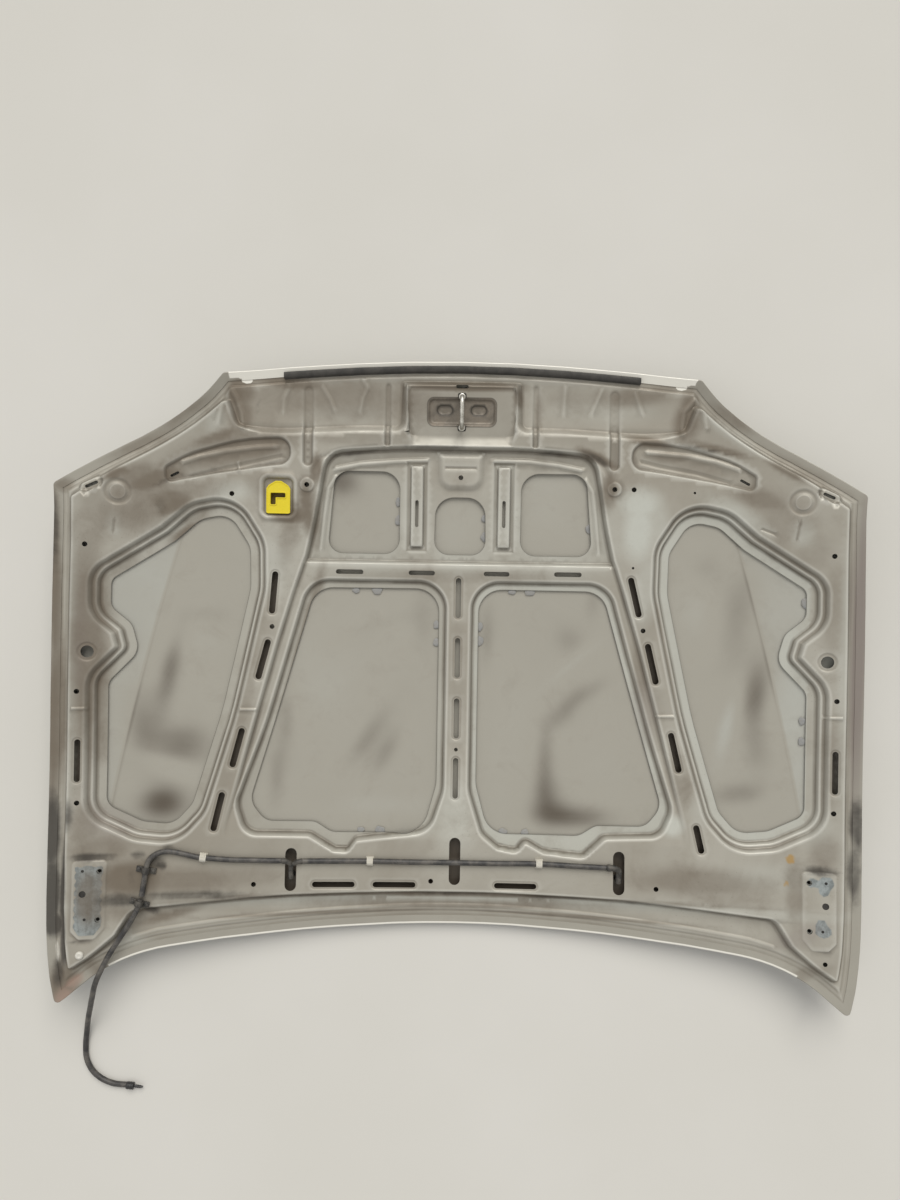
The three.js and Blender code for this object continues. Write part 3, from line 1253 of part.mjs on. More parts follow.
// Black clamps with two ears each
function clampSection() {
  const e = CLAMP_LENGTH / 2;
  const b = holderBore + CLAMP_WALL;
  const ear = holderBase + 2.6;
  const shoulder = holderBore * 0.6;
  return [[-e, holderBase], [e, holderBase], [e, ear], [b, ear + 0.8], [b, shoulder], [b * 0.5, b],
    [-b * 0.5, b], [-b, shoulder], [-b, ear + 0.8], [-e, ear]];
}
function clampBar() {
  return slab(clampSection(), [disc(0, 0, holderBore, 12)], CLAMP_WIDTH).translate(0, 0, -CLAMP_WIDTH / 2);
}
const UPPER_CLAMP = [-535.6, -335, Math.PI / 2 - 0.12];
add('hose_clamp_upper', alongHose(
  clampBar(),
  hoseAbove(UPPER_CLAMP[0], UPPER_CLAMP[1]),
  hoseDirection(...UPPER_CLAMP),
  panelUp(...at(UPPER_CLAMP[0], UPPER_CLAMP[1])),
), 0x262524, 0, 0.6);

// Free end of the hose, over the rear edge and down to the floor
const LOWER_CLAMP = [-547, -398];
const lowerZ = panelZ(...at(...LOWER_CLAMP)) + hoseR + HOSE_CLEAR + LOWER_CLAMP_LIFT;
const FREE_PLAN = [
  [-543, -384], [-547, -398], [-560, -424], [-576, -450], [-593, -478], [-607, -506], [-619, -533], [-629, -560],
  [-640, -588], [-651, -617], [-659, -646], [-663, -674], [-661, -698], [-650, -720], [-632, -735], [-611, -743],
  [-588, -745],
];
const FLOOR_REST = hoseR + 0.3;
function freeHeight(k) {
  const [x, y] = at(...FREE_PLAN[k]);
  if (k < 2) return lowerZ;
  const over = skinZ(x, Math.max(y, -492 * SY)) + 13;
  const landing = 11;
  if (k <= 5) return Math.max(mix(lowerZ, 86, (k - 1) / 4), k < 5 ? over : 0);
  const t = clamp((k - 5) / (landing - 5), 0, 1);
  return mix(86, FLOOR_REST, t * t * (3 - 2 * t));
}
const freePath = FREE_PLAN.map((p, k) => [...at(...p), freeHeight(k)]);
add('washer_hose_free', tube(freePath, hoseR, 8, 48), 0x3a3a3b, 0, 0.7);
const tip = freePath[freePath.length - 1];
const lead = freePath[freePath.length - 2];
const aim = Math.atan2(tip[1] - lead[1], tip[0] - lead[0]);
function connectorBody() {
  const r = CONNECTOR_DIAMETER / 2;
  const end = CONNECTOR_LENGTH + FIT_GAP;
  const profile = [[0, FIT_GAP], [hoseR, FIT_GAP], [r * 0.98, 2.5], [r * 0.98, end - 2], [BARB_DIAMETER / 2, end],
    [BARB_DIAMETER / 2, end + BARB_LENGTH * 0.6], [BARB_DIAMETER * 0.36, end + BARB_LENGTH], [0, end + BARB_LENGTH]];
  const g = lathe(profile, 10);
  return g.rotateY(Math.PI / 2).rotateZ(aim).translate(tip[0], tip[1], Math.max(tip[2], r + 0.1));
}
add('hose_connector', connectorBody(), 0x1f1f1f, 0, 0.5);

// White blanking plug in the left rear corner
function plugBody() {
  const [x, y] = at(-641, -477);
  const up = panelUp(x, y + 14);
  const z = (panelZ(x + 7, y + 5) + panelZ(x - 7, y + 5)) / 2;
  const r = PLUG_HEAD / 2;
  const s = PLUG_STEM / 2;
  const gap = FIT_GAP + 0.9;
  const profile = [[0, -5], [s * 0.8, -5], [s, -3], [s, gap], [r, gap], [r, gap + PLUG_HEAD_HEIGHT * 0.6],
    [r * 0.75, gap + PLUG_HEAD_HEIGHT], [0, gap + PLUG_HEAD_HEIGHT]];
  const turn = new THREE.Quaternion().setFromUnitVectors(new THREE.Vector3(0, 0, 1), up);
  return lathe(profile, 12).applyQuaternion(turn).translate(x, y, z);
}
add('blanking_plug', plugBody(), 0xdedbcf, 0, 0.5);

// Sealant between the skin and the ledges, showing at the opening edges
const BLOBS = [
  [-111, 318, 90], [-111, 285, 90], [43, 291, 90], [44, 258, 90], [232, 275, 90], [-186, 158, 0], [-148, 158, 0],
  [-40, 98, 90], [-40, 66, 90], [128, 160, 0], [96, 160, 0], [38, 96, 90], [39, 70, 90], [-170, -274, 0],
  [-136, -274, 0], [86, -274, 0], [126, -274, 0], [608, 148, 90], [608, -60, 90], [608, -96, 90],
];
BLOBS.forEach(([bx, by, turn], k) => {
  const [x, y] = at(bx, by);
  const slopeX = (skinZ(x + 6, y) - skinZ(x - 6, y)) / 12;
  const slopeY = (skinZ(x, y + 6) - skinZ(x, y - 6)) / 12;
  const low = SKIN_THICKNESS + FIT_GAP + 0.75;
  const high = LEDGE_LEVEL - PANEL_THICKNESS - FIT_GAP - 0.1;
  const half = Math.max(0.4, (high - low) / 2);
  const size = 1 + 0.16 * Math.sin(k * 2.3);
  const g = new THREE.SphereGeometry(1, 7, 4).rotateX(Math.PI / 2);
  g.scale((BLOB_LENGTH / 2) * size, (BLOB_WIDTH / 2) * size, half).rotateZ(THREE.MathUtils.degToRad(turn));
  g.rotateX(Math.atan(slopeY)).rotateY(-Math.atan(slopeX));
  g.translate(x, y, skinZ(x, y) + (low + high) / 2);
  add(`sealant_blob_${k + 1}`, g, 0xa7a9ad, 0, 0.7);
});

// The lower clamp holds the start of the free hose at the rear step
const clampFrom = new THREE.Vector3(...freePath[0]);
const clampTo = new THREE.Vector3(...freePath[1]);
const clampUp = panelUp(...at(-540, -370));
add('hose_clamp_lower', alongHose(
  clampBar(),
  clampFrom.clone().lerp(clampTo, 0.5).toArray(),
  clampTo.clone().sub(clampFrom),
  clampUp,
), 0x242322, 0, 0.6);

// Centre the object over the origin and stand it on the floor, measured without the loose hose
const box = new THREE.Box3();
bonnet.children.forEach((mesh) => {
  mesh.geometry.computeBoundingBox();
  if (!cordNames.includes(mesh.name)) box.union(mesh.geometry.boundingBox);
});
const shift = [-(box.min.x + box.max.x) / 2, -(box.min.y + box.max.y) / 2, -box.min.z];
bonnet.children.forEach((mesh) => mesh.geometry.translate(...shift));

export default bonnet;
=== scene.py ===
import math

import bpy
import numpy as np
from mathutils import Matrix, Vector, kdtree
from mathutils.geometry import delaunay_2d_cdt


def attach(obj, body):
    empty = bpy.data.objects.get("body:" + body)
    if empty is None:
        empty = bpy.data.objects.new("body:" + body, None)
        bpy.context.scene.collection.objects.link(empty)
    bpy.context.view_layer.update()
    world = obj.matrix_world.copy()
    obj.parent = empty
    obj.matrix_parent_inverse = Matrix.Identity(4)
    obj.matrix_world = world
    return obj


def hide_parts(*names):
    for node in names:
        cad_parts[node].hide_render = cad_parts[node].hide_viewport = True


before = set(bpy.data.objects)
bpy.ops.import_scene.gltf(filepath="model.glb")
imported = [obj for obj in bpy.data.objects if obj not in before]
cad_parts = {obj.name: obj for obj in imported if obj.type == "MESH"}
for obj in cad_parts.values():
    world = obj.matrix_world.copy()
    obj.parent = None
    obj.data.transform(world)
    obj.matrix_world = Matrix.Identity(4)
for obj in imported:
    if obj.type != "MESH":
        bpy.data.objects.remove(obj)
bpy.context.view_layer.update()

# Lengths below are millimetres in the plan of the CAD source: X across, Y to the front, Z up.
MM = 0.001
SHIFT_Y = -0.381


def metres(points):
    p = np.array(points, float).reshape(-1, 3)
    p[:, 1] += SHIFT_Y
    return p * MM


def placed(at, *turns):
    """From a part drawn in millimetres round its own origin to its place"""
    out = Matrix.Translation(metres([at])[0])
    for turn in turns:
        out = out @ turn
    return out @ Matrix.Scale(MM, 4)


def linked(name, data):
    obj = bpy.data.objects.new(name, data)
    bpy.context.collection.objects.link(obj)
    return obj


# Camera
LENS = 27.0
SENSOR = 36.0
CAMERA_AT = (0.0, 143.5, 1637.0)
CAMERA_TURN = 0.95
CENTRE_SHIFT = -8.9 / 1200

camera_data = bpy.data.cameras.new("camera")
camera_data.sensor_width = SENSOR
camera_data.lens = LENS
camera_data.shift_x = CENTRE_SHIFT
camera = linked("camera", camera_data)
camera.location = metres([CAMERA_AT])[0]
camera.rotation_euler = (0, 0, math.radians(CAMERA_TURN))
bpy.context.scene.camera = camera


# Curves and plain solids
def smooth_path(points, step):
    """Centripetal curve through the points, sampled about every step"""
    p = np.array(points, float)
    p = np.vstack([2 * p[0] - p[1], p, 2 * p[-1] - p[-2]])
    out = []
    for i in range(1, len(p) - 2):
        a, b, c, d = p[i - 1:i + 3]
        t0 = 0.0
        t1 = t0 + math.sqrt(np.linalg.norm(b - a))
        t2 = t1 + math.sqrt(np.linalg.norm(c - b))
        t3 = t2 + math.sqrt(np.linalg.norm(d - c))
        n = max(1, int(round(np.linalg.norm(c - b) / step)))
        for k in range(n):
            t = t1 + (t2 - t1) * k / n
            ab = (t1 - t) / (t1 - t0) * a + (t - t0) / (t1 - t0) * b
            bc = (t2 - t) / (t2 - t1) * b + (t - t1) / (t2 - t1) * c
            cd = (t3 - t) / (t3 - t2) * c + (t - t2) / (t3 - t2) * d
            abc = (t2 - t) / (t2 - t0) * ab + (t - t0) / (t2 - t0) * bc
            bcd = (t3 - t) / (t3 - t1) * bc + (t - t1) / (t3 - t1) * cd
            out.append((t2 - t) / (t2 - t1) * abc + (t - t1) / (t2 - t1) * bcd)
    out.append(p[-2])
    return np.array(out)


def make_object(name, verts, faces, slot, replaced, angle=35):
    mesh = bpy.data.meshes.new(name)
    mesh.from_pydata([tuple(v) for v in verts], [], [tuple(f) for f in faces])
    mesh.polygons.foreach_set("use_smooth", [True] * len(mesh.polygons))
    mesh.set_sharp_from_angle(angle=math.radians(angle))
    mesh.update()
    obj = linked(name, mesh)
    dress(obj, slot, replaced)
    return obj


def dress(obj, slot, replaced):
    obj.data.materials.clear()
    obj.data.materials.append(finishes[slot])
    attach(obj, "root")
    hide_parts(*replaced)


def circle(radius, sides):
    return [(radius * math.cos(2 * math.pi * k / sides), radius * math.sin(2 * math.pi * k / sides))
            for k in range(sides)]


def band(a, b, n):
    """Quads between two closed rings of n points, which start at points a and b"""
    return [(a + i, a + (i + 1) % n, b + (i + 1) % n, b + i) for i in range(n)]


def tube(path, radius, sides=22):
    """Round bar along a path; its radius may be a function of the way along it, from 0 to 1"""
    p = np.array(path, float)
    n = len(p)
    tangent = np.gradient(p, axis=0)
    tangent /= np.linalg.norm(tangent, axis=1)[:, None]
    up = np.array([0.0, 0.0, 1.0])
    if abs(tangent[0] @ up) > 0.9:
        up = np.array([0.0, 1.0, 0.0])
    verts, faces = [], []
    side = np.cross(tangent[0], up)
    for k in range(n):
        side = side - tangent[k] * (side @ tangent[k])
        side /= np.linalg.norm(side)
        lift = np.cross(side, tangent[k])
        r = radius(k / (n - 1)) if callable(radius) else radius
        verts += [p[k] + side * a + lift * b for a, b in circle(r, sides)]
    for k in range(n - 1):
        faces += band(k * sides, (k + 1) * sides, sides)
    faces.append(tuple(range(sides - 1, -1, -1)))
    faces.append(tuple((n - 1) * sides + i for i in range(sides)))
    return verts, faces


def lathe(profile, sides):
    """Solid of revolution round Z from (radius, height) pairs"""
    verts, faces = [], []
    m = len(profile)
    for k in range(sides):
        a = 2 * math.pi * k / sides
        verts += [(r * math.cos(a), r * math.sin(a), h) for r, h in profile]
    for k in range(sides):
        j = (k + 1) % sides
        for i in range(m - 1):
            faces.append((k * m + i, j * m + i, j * m + i + 1, k * m + i + 1))
    faces.append(tuple(k * m for k in range(sides - 1, -1, -1)))
    faces.append(tuple(k * m + m - 1 for k in range(sides)))
    return verts, faces


def join(*parts):
    verts, faces = [], []
    for v, f in parts:
        start = len(verts)
        verts += [tuple(p) for p in v]
        faces += [tuple(i + start for i in face) for face in f]
    return verts, faces


def moved(part, matrix):
    return [tuple(matrix @ Vector(v)) for v in part[0]], part[1]


def shifted(part, x, y, z):
    return moved(part, Matrix.Translation((x, y, z)))


def plate(outlines, depth, bevel):
    """Extruded outline with holes and rounded edges, from z = 0 up to depth"""
    data = bpy.data.curves.new("plate", "CURVE")
    data.dimensions = "2D"
    data.fill_mode = "BOTH"
    data.extrude = depth / 2 - bevel
    data.bevel_depth = bevel
    data.bevel_resolution = 3
    data.offset = -bevel
    for ring in outlines:
        spline = data.splines.new("POLY")
        spline.points.add(len(ring) - 1)
        for point, (x, y) in zip(spline.points, ring):
            point.co = (x, y, 0, 1)
        spline.use_cyclic_u = True
    holder = bpy.data.objects.new("plate", data)
    mesh = bpy.data.meshes.new_from_object(holder)
    verts = [(v.co.x, v.co.y, v.co.z + depth / 2) for v in mesh.vertices]
    faces = [tuple(f.vertices) for f in mesh.polygons]
    bpy.data.objects.remove(holder)
    bpy.data.curves.remove(data)
    bpy.data.meshes.remove(mesh)
    return verts, faces


# Materials
def srgb(r, g, b):
    def linear(v):
        v /= 255
        return v / 12.92 if v <= 0.04045 else ((v + 0.055) / 1.055) ** 2.4
    return (linear(r), linear(g), linear(b), 1.0)


class Finish:
    """One node material, with short calls for the nodes it is made of"""

    def __init__(self, name, **fixed):
        self.material = bpy.data.materials.new(name)
        self.material.use_nodes = True
        self.tree = self.material.node_tree
        self.shader = self.tree.nodes["Principled BSDF"]
        for key, value in fixed.items():
            self.shader.inputs[key.replace("_", " ")].default_value = value
        self.place = self.tree.nodes.new("ShaderNodeTexCoord").outputs["Object"]

    def put(self, node, socket, value):
        target = node.inputs[socket]
        if isinstance(value, bpy.types.NodeSocket):
            self.tree.links.new(value, target)
        else:
            target.default_value = value

    def add(self, kind, sockets, **settings):
        node = self.tree.nodes.new("ShaderNode" + kind)
        for key, value in settings.items():
            setattr(node, key, value)
        for key, value in sockets.items():
            self.put(node, key, value)
        return node.outputs

    def noise(self, scale, detail=4.0, rough=0.55, distort=0.0, stretch=None):
        source = self.add("Mapping", {"Vector": self.place, "Scale": stretch})[0] if stretch else self.place
        return self.add("TexNoise", {"Scale": scale, "Detail": detail, "Roughness": rough, "Distortion": distort,
                                     "Vector": source})["Fac"]

    def cells(self, scale):
        return self.add("TexVoronoi", {"Scale": scale, "Vector": self.place})["Distance"]

    def field(self, name):
        return self.add("Attribute", {}, attribute_name=name)["Fac"]

    def times(self, a, b):
        return self.add("Math", {0: a, 1: b}, operation="MULTIPLY")[0]

    def plus(self, a, b):
        return self.add("Math", {0: a, 1: b}, operation="ADD")[0]

    def span(self, value, low, high, start=0.0, end=1.0):
        return self.add("MapRange", {"Value": value, "From Min": low, "From Max": high, "To Min": start,
                                     "To Max": end}, interpolation_type="SMOOTHSTEP")["Result"]

    def ragged(self, name, noise, amount, low, high):
        """A painted field whose border is broken up by noise"""
        return self.span(self.plus(self.field(name), self.times(self.plus(noise, -0.5), amount)), low, high)

    def blend(self, fac, a, b):
        """Mix of two colours, each a socket or a tone of three numbers from 0 to 255"""
        a, b = (srgb(*c) if isinstance(c, tuple) and len(c) == 3 else c for c in (a, b))
        return self.add("Mix", {0: fac, 6: a, 7: b}, data_type="RGBA")[2]

    def bump(self, height, strength, distance):
        self.put(self.shader, "Normal", self.add("Bump", {"Height": height, "Strength": strength,
                                                          "Distance": distance})[0])

    def colour(self, value):
        self.put(self.shader, "Base Color", value)

    def rough(self, value):
        self.put(self.shader, "Roughness", value)


# Stains, with painted shade and highlight among them, from the lowest up: field, noise at its border and how much of
# it, span, cover and tone
STAIN_LAYERS = [
    ("brown", "mid", 0.45, 0.1, 0.95, 0.85, (104, 93, 79)),
    ("mauve", "broad", 0.3, 0.1, 0.9, 0.75, (124, 113, 108)),
    # Pale also makes the painted highlight on the skin's lip and the painted reflection on its rear edge
    ("pale", "fine", 0.1, 0.4, 0.6, 1.0, (226, 223, 213)),
    ("pink", "mid", 0.4, 0.2, 0.9, 0.9, (162, 138, 124)),
    ("ochre", "fine", 0.7, 0.35, 0.7, 0.8, (168, 134, 74)),
    # Black smudges by the hinges, and thin dark lines along walls that face away from the key light, which are
    # painted shade
    ("soot_and_shade", "mid", 1.0, 0.15, 0.95, 0.85, (50, 46, 42)),
]


def add_stains(f, base, **noises):
    """The stains that the panel and the hem share, with their painted shade and highlight"""
    for name, noise, amount, low, high, cover, tone in STAIN_LAYERS:
        base = f.blend(f.times(f.ragged(name, noises[noise], amount, low, high), cover), base, tone)
    return base


def panel_paint():
    f = Finish("panel_paint", Metallic=0.3, Specular_IOR_Level=0.4)
    broad = f.noise(3.2, 5, 0.6, 0.4)
    mid = f.noise(14, 6, 0.65, 0.3)
    fine = f.noise(90, 5, 0.7)
    streak = f.noise(20, 5, 0.6, 0.2, (1.0, 0.25, 1.0))
    base = f.blend(f.span(broad, 0.3, 0.72), (150, 144, 132), (171, 167, 156))
    # Lighter patches from the "light" field: partly painted light, as on the rear shelf, with a painted highlight at
    # the right arm's foot
    base = f.blend(f.times(f.field("light"), f.span(mid, 0.2, 0.8, 1.0, 0.6)), base, (190, 191, 182))
    base = f.blend(f.times(f.span(mid, 0.5, 0.75), 0.25), base, (128, 120, 107))
    # Painted shade and dirt in concave bends, streaked
    base = f.blend(f.times(f.field("shade_and_dirt_in_hollows"), f.span(streak, 0.2, 0.75, 0.25, 0.75)), base, (92, 84, 73))
    # Painted highlight and wear on convex bends
    base = f.blend(f.times(f.field("highlight_and_wear_on_crests"), 0.4), base, (218, 217, 208))
    scratched = f.plus(fine, f.times(f.noise(60, 3, 0.6, 1.5, (1.0, 0.12, 1.0)), 0.6))
    bare = f.blend(f.span(scratched, 0.6, 1.0), (116, 121, 120), (152, 158, 157))
    base = f.blend(f.ragged("steel", mid, 0.35, 0.35, 0.55), base, bare)
    base = add_stains(f, base, mid=mid, broad=broad, fine=fine)
    speck = f.times(f.span(f.cells(160), 0.16, 0.05), f.span(broad, 0.45, 0.7))
    base = f.blend(f.times(speck, 0.45), base, (84, 76, 66))
    # Dark "rim" line at the opening edges: painted shadow of the gap under the ledge, with dark mastic
    f.colour(f.blend(f.times(f.field("rim"), 0.8), base, (56, 52, 47)))
    f.rough(f.span(mid, 0.25, 0.75, 0.4, 0.62))
    f.bump(f.plus(f.times(mid, 0.6), fine), 0.1, 0.0005)
    return f.material


def skin_paint():
    f = Finish("skin_paint", Metallic=0.3, Specular_IOR_Level=0.5, Coat_Weight=0.2, Coat_Roughness=0.15)
    broad = f.noise(2.6, 5, 0.6, 0.5)
    mid = f.noise(16, 6, 0.65, 0.4)
    fine = f.noise(120, 4, 0.6)
    inner = f.field("inner")
    outside = f.blend(f.span(fine, 0.3, 0.7), (178, 181, 183), (190, 193, 195))
    # The "tone" field holds painted light and shade as well as the skin's own patchy tone
    tone = f.plus(f.field("tone"), f.times(f.plus(broad, -0.5), 0.35))
    within = f.blend(f.span(tone, 0.0, 0.5), (80, 71, 60), (162, 158, 147))
    within = f.blend(f.span(tone, 0.5, 1.0), within, (192, 196, 190))
    within = f.blend(f.times(f.span(mid, 0.5, 0.8), 0.2), within, (128, 120, 108))
    within = add_stains(f, within, mid=mid, broad=broad, fine=fine)
    f.colour(f.blend(inner, outside, within))
    f.rough(f.blend(inner, (0.24, 0.24, 0.24, 1), f.span(mid, 0.25, 0.75, 0.42, 0.58)))
    f.bump(f.times(f.plus(mid, fine), inner), 0.08, 0.0005)
    return f.material


DUST = (150, 142, 128)


def worn(name, light, dark, roughness, scale, metallic=0.0, bump=0.15, dust=DUST, dusty=0.0, grime_and_shade=None):
    """A worn surface between two tones, with dust and, where asked, a painted layer of grime (latch plate) and of
    shade (prop socket)
    """
    f = Finish(name, Metallic=metallic)
    mid = f.noise(scale, 6, 0.65, 0.3)
    fine = f.noise(scale * 9, 4, 0.6)
    base = f.blend(f.span(mid, 0.3, 0.7), dark, light)
    if dusty:
        base = f.blend(f.span(f.plus(mid, f.times(fine, 0.4)), 0.55, 0.95, 0, dusty), base, dust)
    if grime_and_shade:
        base = f.blend(f.field("grime_and_shade"), base, grime_and_shade)
    f.colour(base)
    f.rough(f.span(fine, 0.25, 0.75, roughness - 0.08, roughness + 0.1))
    f.bump(f.plus(f.times(mid, 0.5), fine), bump, 0.0004)
    return f.material


# Light tone, dark tone, roughness, scale of the noise, and what else is asked of worn
WORN = {
    "seal_rubber": ((70, 68, 64), (58, 56, 53), 0.75, 60, dict(dusty=0.06)),
    "latch_plate_steel": ((138, 131, 120), (104, 97, 87), 0.5, 30,
                          dict(metallic=0.35, dust=(112, 98, 82), dusty=0.5, grime_and_shade=(30, 28, 26))),
    "striker_steel": ((222, 220, 214), (168, 165, 158), 0.3, 80, dict(metallic=0.85)),
    "hinge_plate_steel": ((62, 60, 57), (40, 38, 36), 0.6, 40, dict(metallic=0.3)),
    "nut_steel": ((176, 176, 172), (130, 128, 122), 0.38, 120, dict(metallic=0.85)),
    # Its dark tone deep in the well is painted shade
    "socket_plastic": ((238, 218, 34), (222, 200, 20), 0.5, 50,
                       dict(dust=(168, 140, 50), dusty=0.25, grime_and_shade=(88, 70, 20))),
    "hose_rubber": ((60, 59, 59), (40, 39, 40), 0.5, 45, dict(dusty=0.3)),
    "fitting_rubber": ((46, 45, 44), (28, 28, 28), 0.55, 60, dict(dusty=0.3)),
    "jet_plastic": ((44, 44, 44), (30, 30, 30), 0.45, 90, {}),
    "clip_plastic": ((222, 218, 205), (198, 192, 176), 0.5, 70, dict(dusty=0.4)),
    "clamp_plastic": ((46, 45, 44), (30, 29, 28), 0.55, 80, dict(dusty=0.3)),
    "connector_plastic": ((42, 42, 43), (28, 28, 29), 0.4, 90, {}),
    "plug_plastic": ((224, 222, 212), (200, 196, 184), 0.45, 90, dict(dusty=0.3)),
    "sealant": ((168, 168, 164), (134, 134, 132), 0.65, 120, dict(bump=0.3, dust=(112, 104, 94), dusty=0.6)),
}
finishes = {"skin_paint": skin_paint(), "panel_paint": panel_paint()}
for name, (light, dark, roughness, scale, more) in WORN.items():
    finishes[name] = worn(name, light, dark, roughness, scale, **more)

# Free end of the washer hose, on the route of the CAD solid
HOSE_RADIUS = 4.8
FREE_ROUTE = [
    (-543, -384, 79.4), (-547, -398, 79.4), (-560, -424, 81.1), (-576, -450, 82.7), (-593, -478, 84.4),
    (-607, -506, 86), (-619, -533, 80), (-629, -560, 65), (-640, -588, 45.5), (-651, -617, 26.1),
    (-659, -646, 11.1), (-663, -674, 5.1), (-661, -698, 5.1), (-650, -720, 5.1), (-632, -735, 5.1),
    (-611, -743, 5.1), (-588, -745, 5.1),
]
free_line = smooth_path(FREE_ROUTE, 5)
free_length = float(np.linalg.norm(np.diff(metres(free_line), axis=0), axis=1).sum())

hose_curve = bpy.data.curves.new("loose_hose", "CURVE")
hose_curve.dimensions = "3D"
hose_curve.bevel_depth = HOSE_RADIUS * MM
hose_curve.bevel_resolution = 6
hose_curve.use_fill_caps = True
hose_spline = hose_curve.splines.new("POLY")
hose_spline.points.add(len(free_line) - 1)
for point, co in zip(hose_spline.points, metres(free_line)):
    point.co = (*co, 1)
hose_spline.use_smooth = True
loose_hose = linked("loose_hose", hose_curve)
dress(loose_hose, "hose_rubber", ["washer_hose_free"])

CONNECTOR_LIFT = 6.6
before, tip = np.array(FREE_ROUTE[-2:])
aim = math.atan2(tip[1] - before[1], tip[0] - before[0])
COLLAR = [
    (0.1, 0.3), (4.9, 0.3), (6.0, 1.0), (6.4, 2.2), (6.4, 5.0), (5.9, 5.5), (5.9, 6.6), (6.4, 7.1), (6.4, 9.6),
    (5.9, 10.1), (5.9, 11.2), (6.4, 11.7), (6.4, 13.0), (5.6, 14.0), (3.0, 14.3), (2.3, 14.8), (2.3, 17.0),
    (3.0, 17.2), (2.3, 20.4), (2.9, 20.6), (2.1, 23.8), (2.7, 24.0), (1.9, 28.2), (1.5, 30.2), (0.1, 30.3),
]
lie_down = placed((*tip[:2], CONNECTOR_LIFT), Matrix.Rotation(aim, 4, "Z"), Matrix.Rotation(math.pi / 2, 4, "Y"))
connector = make_object("hose_end_connector", *moved(lathe(COLLAR, 28), lie_down), "connector_plastic",
                        ["hose_connector"])
metres([FREE_ROUTE[0]])[0].tolist()

# Plan outlines, as corner lists of x, y and corner radius, as in the CAD source
OUTLINE_RIGHT = [
    (683, -566, 7), (691, -537), (698, -495), (703, -440), (705, -380), (706, -300), (706, -165), (706, -30),
    (705, 60), (703, 145), (700, 230), (697, 305), (698, 333, 9), (670, 352), (625, 380), (582, 405), (541, 428),
    (502, 455), (472, 478), (444, 503), (417, 534, 12), (365, 539), (302, 546), (245, 551), (180, 556), (92, 560.5),
]
OUTLINE_REAR = [
    (0, -438), (52, -438.5), (105, -440), (158, -443), (212, -446), (267, -450), (316, -454.5), (365, -459.5),
    (412, -464), (460, -470), (521, -478), (560, -488), (597, -503), (630, -523), (655, -545),
]
OUTLINE_REAR_ROUND = [(-x, y) for x, y in OUTLINE_REAR[11:0:-1]] + OUTLINE_REAR[:12]
PLATEAU_RIGHT = [
    (60, -384), (180, -387), (300, -391), (385, -397), (470, -404), (556, -411, 20), (581, -452, 20), (626, -490),
    (664, -512, 10), (672, -470), (675, -440), (678, -380), (679, -300), (679, -165), (679, -30), (678, 60),
    (676, 145), (673, 230), (671, 313, 12), (613, 357), (570, 382), (529, 406), (490, 432), (458, 456), (420, 489),
    (404, 490, 6), (389, 446, 16), (322, 442), (250, 447), (180, 451), (110, 452, 8), (107, 529, 8), (50, 530),
]
LOW_RIGHT = [
    (330, -299), (403, -290, 20), (402, -262), (387, -205), (372, -145), (357, -86), (336, -8), (315, 70),
    (291, 150), (273, 205), (269, 214), (255, 275), (243, 345), (233, 398, 38), (110, 408),
]
SIDE_OPENING = [
    (373, 160, 90), (420, -60), (468, -226, 38), (500, -262, 36), (552, -256, 46), (613, -226, 26), (613, -10, 26),
    (563, 44, 34), (575, 92, 30), (609, 122, 24), (608, 170, 18), (503, 240, 26), (460, 279, 40), (410, 290, 36),
    (374, 232, 40),
]
BIG_OPENING = [
    (36, 163, 42), (36, -190, 70), (60, -277, 44), (222, -277, 30), (252, -258, 28), (340, -257, 30),
    (368, -222, 34), (326, -77), (258, 162, 42),
]
UPPER_OPENING = [(109, 371, 32), (109, 225, 27), (237, 225, 25), (224, 371, 28)]
BIG_WALL_RIGHT = [
    (23, 176, 50), (23, -200, 70), (47, -275, 30), (76, -299, 20), (110, -305, 14), (125, -286, 8), (158, -304, 14),
    (229, -311, 20), (266, -276, 18), (364, -271, 30), (384, -225, 40), (340, -80), (268, 176, 50),
]
BIG_WALL_LEFT = [
    (23, 176, 50), (23, -200, 70), (47, -272, 40), (125, -281, 20), (177, -287, 10), (192, -307, 9), (215, -306, 12),
    (260, -279, 18), (372, -277, 30), (390, -225, 40), (340, -80), (268, 176, 50),
]
MIDDLE_OPENING = [(-44, 327, 33), (-46, 225, 26), (46, 225, 26), (44, 327, 33)]
LONG_POCKET = [
    (300, 428, 24), (297, 377, 24), (345, 371), (452, 352), (516, 336, 14), (517, 368, 12), (475, 395), (385, 423),
]
HINGE_PAD = [(604.5, -320, 5), (604.5, -432, 5), (619, -449, 6), (643, -449, 6), (655, -436, 6), (656, -320, 5)]
TAB_BOSS = [(-46, 410, 4), (-44, 336, 28), (44, 336, 28), (46, 410, 4)]
SOCKET_POCKET = [(-350, 356, 12), (-350, 286, 12), (-294, 286, 12), (-294, 356, 12)]
SOFT_CORNER = 400
ARC_STEP = math.radians(6)
MOST_OF_SIDE = 0.48
STRAIGHT = 0.004


